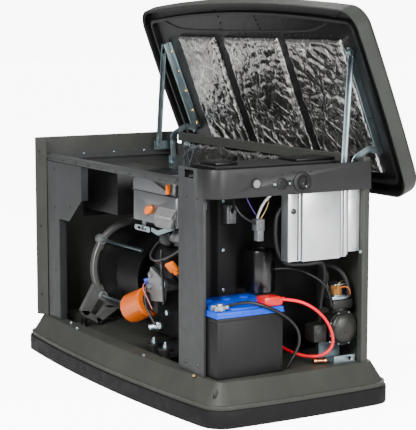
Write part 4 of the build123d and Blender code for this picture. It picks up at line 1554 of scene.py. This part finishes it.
@dataclass
class BayDress:
    """Silencer, plugs, extra conduits and connectors of the service bay."""

    def conduit(self, name: str, route: Sequence[Point], radius: float) -> Thing:
        """Build a corrugated conduit.

        Args:
            name: Piece name.
            route: Route points in metres.
            radius: Outer radius.

        Returns:
            The conduit.
        """
        knots = [Vector(p) for p in route]
        line: list[Vector] = []
        for i in range(len(knots) - 1):
            before = knots[max(i - 1, 0)]
            after = knots[min(i + 2, len(knots) - 1)]
            for k in range(24):
                t = k / 24
                a, b = knots[i], knots[i + 1]
                line.append(0.5 * ((2 * a) + (b - before) * t + (2 * before - 5 * a + 4 * b - after) * t * t
                                   + (3 * a - before - 3 * b + after) * t ** 3))
        line.append(knots[-1])
        form = bmesh.new()
        rings = []
        for i, spot in enumerate(line):
            way = (line[min(i + 1, len(line) - 1)] - line[max(i - 1, 0)]).normalized()
            side = way.cross(Vector((0.13, 0.21, 0.97))).normalized()
            rise = way.cross(side)
            r = radius * (1.0 if i % 2 else 0.86)
            rings.append([form.verts.new(spot + r * (math.cos(t) * side + math.sin(t) * rise))
                          for t in [2 * math.pi * k / 14 for k in range(14)]])
        for low, high in zip(rings, rings[1:]):
            for k in range(14):
                j = (k + 1) % 14
                form.faces.new((low[k], low[j], high[j], high[k]))
        form.faces.new(rings[0])
        form.faces.new(rings[-1])
        return solid(name, form, RUBBER, sharp_deg=80)

    def connectors(self) -> None:
        """Build the lock ring and round connectors on the band.

        Args:
            None.

        Returns:
            None.
        """
        form = bmesh.new()
        lathe(form, ((0.0108, 0.0002), (0.0150, 0.0002), (0.0145, 0.0022), (0.0108, 0.0022),
                     (0.0108, 0.0002)), facing((BAND_X, -0.125, 0.632), EAST), 40)
        lathe(form, ((0, 0.0002), (0.0160, 0.0002), (0.0160, 0.0035), (0.0130, 0.0045), (0.0120, 0.0015),
                     (0, 0.0015)), facing((BAND_X, -0.045, 0.627), EAST), 36)
        slab(form, (BAND_FACE, -0.072, 0.6185), (0.5520, -0.018, 0.6355), edge=0.0007)
        lathe(form, ((0, 0.0002), (0.0280, 0.0002), (0.0278, 0.0030), (0.0225, 0.0048), (0.0190, 0.0048),
                     (0.0160, 0.0015), (0, 0.0015)), facing((BAND_X, 0.019, 0.628), EAST), 48)
        lathe(form, ((0.0110, 0.0012), (0.0150, 0.0012), (0.0140, 0.0049), (0.0120, 0.0049),
                     (0.0110, 0.0012)), facing((BAND_X, 0.021, 0.627), EAST), 40)
        stand_in("panel_connectors", form, RUBBER)
        glint = bmesh.new()
        lathe(glint, ((0, 0.0015), (0.0085, 0.0015), (0.0080, 0.0038), (0.0045, 0.0048), (0, 0.005)),
              facing((BAND_X, 0.024, 0.622), EAST), 28)
        for k in range(4):
            lathe(glint, ((0, 0.0015), (0.0014, 0.0015), (0.0014, 0.0042), (0, 0.0044)),
                  facing(circle_spot((BAND_X, -0.045, 0.627), 0.006, 45 + 90 * k), EAST), 10)
        solid("connector_pins", glint, BLACK)
        shine = bmesh.new()
        lathe(shine, ((0, 0), (0.0042, 0), (0.0034, 0.0016), (0, 0.0022)), facing((0.5525, 0.031, 0.6165),
                                                                                  (0.9, 0.3, -0.2)), 20)
        solid("connector_glint", shine, CHROME)
        bolt = small_part(Part.PAN_SCREW)
        spots = [((BAND_FACE, 0.019 + 0.027 * a, 0.628 + 0.027 * b), EAST) for a in (-1, 1) for b in (-1, 1)]
        spots.append(((BAND_FACE, -0.045, 0.651), EAST))
        SCATTER.place("connector_screws", spots, bolt, 0.0028, RUBBER)

    def build(self) -> None:
        """Build the bay's small pieces.

        Args:
            None.

        Returns:
            None.
        """
        can = bmesh.new()
        lathe(can, ((0, 0.308), (0.039, 0.308), (0.0425, 0.311), (0.043, 0.317), (0.043, 0.419),
                    (0.0415, 0.425), (0.037, 0.428), (0.026, 0.4282), (0.024, 0.424), (0, 0.424)),
              at(0.372, 0.002, 0), 56)
        rod(can, 0.024, 0.020, facing((0.3263, 0.002, 0.368), EAST), 28)
        stand_in("silencer", can, Finish("gloss_black", (0.002, 0.002, 0.0022), 0.24, 0.0, Grain.SMOOTH, 0.4))
        plugs = bmesh.new()
        for low, high in (((0.3263, -0.092, 0.500), (0.352, -0.062, 0.548)), ((0.3453, -0.194, 0.545),
                                                                              (0.366, -0.164, 0.580)),
                          ((0.4300, -0.062, 0.490), (0.4550, -0.036, 0.522)), ((0.4340, -0.058, 0.462),
                                                                               (0.4540, -0.038, 0.492))):
            slab(plugs, low, high, edge=0.0022)
            slab(plugs, (high[0] - 0.001, low[1] + 0.006, low[2] + 0.008), (high[0] + 0.003, high[1] - 0.006,
                                                                            high[2] - 0.010), edge=0.001)
        solid("wiring_plugs", plugs, Finish("plug_gray", (0.13, 0.135, 0.14), 0.45, 0.0, Grain.MOULDED))
        self.conduit("loom_conduit_a", ((0.488, 0.004, 0.560), (0.484, -0.018, 0.525), (0.484, -0.016, 0.450),
                                        (0.490, 0.010, 0.404), (0.496, 0.070, 0.396), (0.502, 0.118, 0.396),
                                        (0.494, 0.134, 0.360), (0.480, 0.136, 0.300), (0.474, 0.136, 0.262)),
                     0.0068)
        self.conduit("loom_conduit_b", ((0.400, 0.100, 0.396), (0.440, 0.116, 0.400), (0.470, 0.134, 0.386),
                                        (0.480, 0.154, 0.350), (0.466, 0.140, 0.302)), 0.0062)
        white = Finish("white_sleeve", (0.75, 0.76, 0.74), 0.4, 0.0, Grain.SMOOTH)
        Cable("white_sleeve", ((0.440, -0.052, 0.520), (0.452, -0.048, 0.560), (0.468, -0.016, 0.596),
                               (0.475, 0.010, 0.622)), 0.0036, white).build()
        Cable("loop_lead", ((0.420, -0.130, 0.610), (0.442, -0.128, 0.560), (0.452, -0.090, 0.520),
                            (0.448, -0.052, 0.508)), 0.0035, CABLE_BLACK).build()
        Cable("violet_lead", ((0.440, -0.046, 0.522), (0.430, -0.080, 0.570), (0.420, -0.072, 0.606),
                              (0.410, -0.040, 0.622)), 0.0016, Finish("violet", (0.09, 0.03, 0.28),
                                                                      0.4)).build()
        Cable("gold_lead", ((0.446, -0.044, 0.522), (0.450, -0.020, 0.556), (0.440, -0.016, 0.590),
                            (0.430, -0.030, 0.622)), 0.0016, BRASS).build()
        Cable("gray_lead", ((0.340, -0.178, 0.600), (0.360, -0.196, 0.560), (0.352, -0.202, 0.500),
                            (0.348, -0.206, 0.452)), 0.0030, CABLE_BLACK).build()
        tip = bmesh.new()
        rod(tip, 0.0046, 0.012, facing((0.440, -0.053, 0.512), (0.2, 0.1, 0.97)), 16)
        solid("blue_tip", tip, Finish("blue_tip", (0.02, 0.09, 0.45), 0.35))
        fitting = bmesh.new()
        lathe(fitting, ((0, 0), (0.008, 0), (0.008, 0.010), (0.006, 0.012), (0.006, 0.026), (0.009, 0.027),
                        (0.009, 0.036), (0, 0.036)), facing((0.500, 0.096, 0.124), (0.3, 0.95, 0.0)), 20)
        solid("brass_fitting", fitting, Finish("copper", (0.55, 0.22, 0.10), 0.3, 1.0))
        self.connectors()
        LOG.info("service bay ready")


# ------------------------------------------------------------------ engine bay
@dataclass
class EngineDress:
    """Alternator, hood, intake, filter and wiring of the engine bay.

    Attributes:
        axis_y: Y of the crank's axis.
        axis_z: Height of the crank's axis.
        arms: Outlines of one foot's arms as (y, z), mirrored for the other foot.
    """

    axis_y: float = 0.015
    axis_z: float = 0.272
    arms: Sequence[Sequence[tuple[float, float]]] = (
        ((-0.129, 0.222), (-0.176, 0.142), (-0.168, 0.128), (-0.156, 0.124), (-0.139, 0.14), (-0.104, 0.194)),
        ((-0.176, 0.142), (-0.17, 0.126), (-0.118, 0.094), (-0.108, 0.096), (-0.104, 0.104), (-0.152, 0.138)),
        ((-0.118, 0.094), (-0.06, 0.128), (-0.046, 0.137), (-0.066, 0.148), (-0.090, 0.150), (-0.124, 0.112)),
        ((-0.116, 0.204), (-0.09, 0.146), (-0.064, 0.14), (-0.060, 0.152), (-0.078, 0.166), (-0.098, 0.190)))

    def alternator(self) -> None:
        """Build the end bell's ring and foot, and the dark can.

        Args:
            None.

        Returns:
            None.
        """
        can = bmesh.new()
        start = facing((-0.3825, self.axis_y, self.axis_z), EAST)
        lathe(can, ((0.122, 0), (0.1310, 0), (0.1310, 0.120), (0.1325, 0.123), (0.1325, 0.130),
                    (0.1310, 0.133), (0.1310, 0.2600), (0.122, 0.2600), (0.122, 0)), start, 96)
        stand_in("alternator_can", can, DARK_STEEL_AND_SHADE)
        bell = bmesh.new()
        face = facing((-0.405, self.axis_y, self.axis_z), EAST)
        lathe(bell, ((0.1350, 0.002), (0.1375, 0), (0.1490, 0), (0.1510, 0.002), (0.1510, 0.020),
                     (0.1490, 0.022), (0.1375, 0.022), (0.1350, 0.020), (0.1350, 0.002)), face, 96)
        lathe(bell, ((0.0172, -0.005), (0.034, -0.005), (0.036, -0.003), (0.036, 0.020), (0.034, 0.022),
                     (0.0172, 0.022), (0.0172, -0.005)), face, 48)
        for i in range(6):
            turn = math.radians(60 * i)
            slab(bell, (0.002, -0.009, 0.033), (0.018, 0.009, 0.137),
                 at(-0.405, self.axis_y, self.axis_z) @ Matrix.Rotation(turn, 4, "X"), 0.003)
        for side in (-1, 1):
            for arm in self.arms:
                outline = [(-0.4045, self.axis_y + side * (y - self.axis_y), z) for y, z in arm]
                prism(bell, outline, (0.021, 0, 0))
        stand_in("alternator_end_bell", bell, ALTERNATOR)
        lugs = bmesh.new()
        for angle in (38.4, 141.6, 218.4, 321.6):
            seat = facing(circle_spot((-0.410, self.axis_y, self.axis_z), 0.146, angle), EAST)
            lathe(lugs, ((0.0054, 0), (0.0150, 0), (0.0160, 0.002), (0.0160, 0.026), (0.0145, 0.0285),
                         (0.0110, 0.0285), (0.0100, 0.0260), (0.0054, 0.0260), (0.0054, 0)), seat, 36)
        solid("rod_lugs", lugs, Finish("lug_alloy", (0.42, 0.42, 0.41), 0.4, 0.7, Grain.CAST))
        soften("crankcase", 0.0025, CASE_DARK)
        soften("cylinders", 0.0006, CASE_DARK)
        soften("rocker_covers", 0.001, ALLOY)

    def hood(self) -> None:
        """Build the hood's rounded look with its seam, and the filter housing.

        Args:
            None.

        Returns:
            None.
        """
        soften("cooling_shroud", 0.0015, SHROUD)
        soften("air_filter_housing", 0.0015, SHROUD)
        seam = bmesh.new()
        slab(seam, (-0.0062, -0.1962, 0.5665), (0.251, -0.150, 0.5690), edge=0.0006)
        solid("hood_seam", seam, RUBBER)
        lip = bmesh.new()
        prism(lip, [(0.004, -0.1962, 0.5695), (0.004, -0.1962, 0.600), (0.020, -0.1962, 0.604),
                    (0.110, -0.1962, 0.604), (0.196, -0.1962, 0.580), (0.196, -0.1962, 0.5695)],
              (0, 0.004, 0))
        solid("hood_lip", lip, SHROUD)
        tab = bmesh.new()
        slab(tab, (0.196, -0.199, 0.572), (0.212, -0.190, 0.600), edge=0.003)
        solid("orange_tab", tab, ORANGE)
        # Partly real, partly painted highlight: the slanted cover is bare cast aluminium, given a lighter
        # colour than the other castings for the light on its slant.
        slope = bmesh.new()
        prism(slope, [(0.135, -0.1965, 0.500), (0.160, -0.1965, 0.533), (0.2515, -0.1965, 0.533),
                      (0.2515, -0.1965, 0.488)], (0, 0.002, 0))
        prism(slope, [(0.128, -0.1960, 0.494), (0.154, -0.2100, 0.512), (0.154, -0.1960, 0.532)],
              (0.098, 0, 0))
        prism(slope, [(0.160, -0.2060, 0.478), (0.160, -0.2140, 0.486), (0.160, -0.1960, 0.520)],
              (0.092, 0, 0))
        solid("hood_slope", slope, Finish("slope_lit_alloy", (0.50, 0.50, 0.50), 0.32, 0.8, Grain.BRUSHED))
        strip = bmesh.new()
        prism(strip, [(0.118, -0.2010, 0.459), (0.120, -0.2010, 0.471), (0.156, -0.2010, 0.466),
                      (0.252, -0.2010, 0.490), (0.252, -0.2010, 0.480), (0.158, -0.2010, 0.452)],
              (0, 0.0025, 0))
        solid("linkage_strip", strip, ZINC)
        casting = bmesh.new()
        prism(casting, [(0.090, -0.188, 0.352), (0.068, -0.188, 0.294), (0.086, -0.188, 0.252),
                        (0.160, -0.188, 0.262), (0.176, -0.188, 0.318), (0.132, -0.188, 0.336)],
              (0, 0.010, 0))
        for x, z in ((0.094, 0.330), (0.082, 0.292), (0.160, 0.306)):
            lathe(casting, ((0, 0), (0.009, 0), (0.009, 0.006), (0.006, 0.008), (0, 0.008)),
                  facing((x, -0.188, z), OUT), 16)
        solid("timing_casting", casting, ALLOY)
        cover = bmesh.new()
        place = facing((0.222, -0.150, 0.455), (0.15, -0.75, 0.5))
        slab(cover, (-0.040, -0.030, 0.000), (0.040, 0.030, 0.026), place, 0.006)
        slab(cover, (-0.044, -0.034, -0.004), (0.044, 0.034, 0.003), place, 0.002)
        for x in (-0.022, 0.0, 0.022):
            slab(cover, (x - 0.003, -0.024, 0.024), (x + 0.003, 0.024, 0.029), place, 0.001)
        solid("valve_cover", cover, ALLOY)

    def intake(self) -> None:
        """Build the rounded black intake elbow.

        Args:
            None.

        Returns:
            None.
        """
        form = bmesh.new()
        seat = facing((0.160, -0.150, 0.425), (-0.05, -0.60, 0.80))
        lathe(form, ((0, -0.062), (0.040, -0.062), (0.056, -0.054), (0.066, -0.036), (0.076, -0.006),
                     (0.0765, 0.002), (0.074, 0.004), (0.070, -0.004), (0.052, 0.004), (0.030, 0.009),
                     (0, 0.011)), seat, 64)
        lathe(form, ((0, 0), (0.030, 0), (0.034, 0.030), (0.030, 0.060), (0, 0.060)),
              facing((0.152, -0.158, 0.326), (0.05, 0.30, 0.95)), 36)
        slab(form, (0.150, -0.196, 0.424), (0.206, -0.150, 0.472), edge=0.010)
        stand_in("intake_bowl", form, BLACK, sharp_deg=50)
        # Painted highlight: the bowl's lip is coloured mid gray, lighter than the black bowl, as the light
        # catching the rim.
        rim = bmesh.new()
        lathe(rim, ((0.0745, 0.0035), (0.0775, 0.0015), (0.0795, 0.0030), (0.0795, 0.0062), (0.0770, 0.0078),
                    (0.0745, 0.0065), (0.0745, 0.0035)), seat, 64)
        solid("intake_rim", rim, Finish("rim_highlight_gray", (0.045, 0.045, 0.047), 0.35, 0.0, Grain.SMOOTH))

    def filter(self) -> None:
        """Build the oil filter, mounts and engine leads.

        Args:
            None.

        Returns:
            None.
        """
        form = bmesh.new()
        way = Vector((0.90, 0.22, 0.376)).normalized()
        lathe(form, ((0, 0.004), (0.020, 0.003), (0.028, 0.0), (0.038, 0.001), (0.0425, 0.005),
                     (0.0440, 0.012), (0.0440, 0.078), (0.0450, 0.080), (0.0450, 0.086), (0.0430, 0.0915),
                     (0, 0.0915)), facing((-0.020, -0.195, 0.212), tuple(way)), 64)
        stand_in("oil_filter", form, FILTER_ORANGE)
        mounts = bmesh.new()
        bolts = bmesh.new()
        for x, y, r in ((0.105, -0.172, 0.017), (0.193, -0.172, 0.017), (0.105, 0.202, 0.017),
                        (0.193, 0.202, 0.017), (-0.394, -0.163, 0.011), (-0.394, 0.193, 0.011)):
            lathe(mounts, ((0, 0), (r, 0), (r, 0.003), (r * 0.9, 0.006), (r * 0.88, 0.012), (r * 0.9, 0.018),
                           (r, 0.021), (r, 0.0238), (0, 0.0238)), at(x, y, 0.088), 32)
        for x, y in ((0.122, -0.194), (0.196, -0.198)):
            lathe(mounts, ((0, 0.090), (0.021, 0.090), (0.022, 0.093), (0.0205, 0.098), (0.0205, 0.128),
                           (0.022, 0.132), (0.021, 0.136), (0, 0.137)), at(x, y, 0), 40)
            lathe(bolts, ((0, 0), (0.011, 0), (0.011, 0.002), (0.008, 0.0022), (0.008, 0.009),
                          (0.005, 0.0092), (0.005, 0.017), (0, 0.017)), at(x, y, 0.137), 12)
        stand_in("rubber_mounts", mounts, RUBBER)
        lathe(bolts, ((0, 0), (0.014, 0), (0.014, 0.012), (0.009, 0.014), (0.009, 0.030), (0, 0.030)),
              facing((0.136, -0.184, 0.188), (-0.6, -0.75, -0.2)), 20)
        lathe(bolts, ((0, 0), (0.010, 0), (0.010, 0.008), (0, 0.009)), facing((0.170, -0.196, 0.196), OUT), 6)
        lathe(bolts, ((0, 0), (0.008, 0), (0.008, 0.008), (0, 0.009)), facing((0.210, -0.196, 0.240), OUT), 6)
        solid("engine_bolts", bolts, ZINC)
        sensor = bmesh.new()
        lathe(sensor, ((0, 0), (0.009, 0), (0.009, 0.020), (0.007, 0.022), (0.007, 0.034), (0, 0.034)),
              facing((0.070, -0.150, 0.318), (-0.25, -0.9, -0.35)), 18)
        solid("oil_pressure_sensor", sensor, ZINC)
        cap = bmesh.new()
        lathe(cap, ((0, 0), (0.0105, 0), (0.0105, 0.010), (0, 0.011)), facing((0.062, -0.181, 0.306),
                                                                              (-0.25, -0.9, -0.35)), 18)
        solid("sensor_cap", cap, Finish("sensor_blue", (0.02, 0.04, 0.42), 0.35))
        Cable("sensor_lead", ((0.061, -0.190, 0.302), (0.080, -0.212, 0.296), (0.108, -0.210, 0.268),
                              (0.128, -0.204, 0.236)), 0.0014, Finish("pink_lead", (0.55, 0.16, 0.16),
                                                                      0.4)).build()
        Cable("engine_lead", ((0.078, -0.196, 0.292), (0.100, -0.216, 0.262), (0.124, -0.214, 0.226),
                              (0.150, -0.206, 0.196)), 0.0040, CABLE_BLACK).build()
        Cable("plug_lead", ((0.175, -0.200, 0.412), (0.196, -0.214, 0.380), (0.206, -0.212, 0.330),
                            (0.196, -0.204, 0.262)), 0.0036, CABLE_BLACK).build()

    def service_points(self) -> None:
        """Build the orange filler cap and dipstick pull.

        Args:
            None.

        Returns:
            None.
        """
        cap = bmesh.new()
        turn = facing((0.105, -0.1955, 0.519), OUT)
        lathe(cap, ((0, -0.017), (0.0079, -0.017), (0.0079, 0.0002), (0, 0.0002)), turn, 32)
        tilt = turn @ Matrix.Rotation(math.radians(24), 4, "Z") @ Matrix.Diagonal((1.22, 0.72, 1.0, 1.0))
        lathe(cap, ((0, 0), (0.0155, 0), (0.0168, 0.002), (0.0170, 0.007), (0.0150, 0.0105), (0, 0.0115)),
              tilt, 48)
        stand_in("oil_filler_cap", cap, ORANGE, "filler_cap")
        way = Vector((0, -0.6472, 0.7623))
        mouth = Vector((0.226, -0.178, 0.352))
        pull = bmesh.new()
        stick = facing(tuple(mouth), tuple(way))
        lathe(pull, ((0, -0.108), (0.0027, -0.108), (0.0027, 0.0006), (0.0080, 0.0006), (0.0085, 0.003),
                     (0.0085, 0.008), (0.0060, 0.0100), (0, 0.0102)), stick, 24)
        slab(pull, (-0.0145, -0.0060, 0.0095), (0.0145, 0.0060, 0.0420),
             stick @ Matrix.Rotation(math.radians(35), 4, "Z"), 0.004)
        stand_in("oil_dipstick", pull, ORANGE, "dipstick")
        soften("governor_lever", 0.0004, ZINC)

    def build(self) -> None:
        """Build the engine bay.

        Args:
            None.

        Returns:
            None.
        """
        self.alternator()
        self.hood()
        self.intake()
        self.filter()
        self.service_points()
        LOG.info("engine bay ready")


def main() -> None:
    """Build the scene.

    Args:
        None.

    Returns:
        None.
    """
    logging.basicConfig(level=logging.INFO)
    Studio().build()
    Cords().build()
    dress_cad(frame["nodes"])
    LidDress().build()
    FoilBoards().build()
    EnclosureDress().build()
    Fasteners().build()
    BatteryDress().build()
    ControlDress().build()
    RegulatorDress().build()
    BayDress().build()
    EngineDress().build()
    write_bounds()


if __name__ == "__main__":
    main()
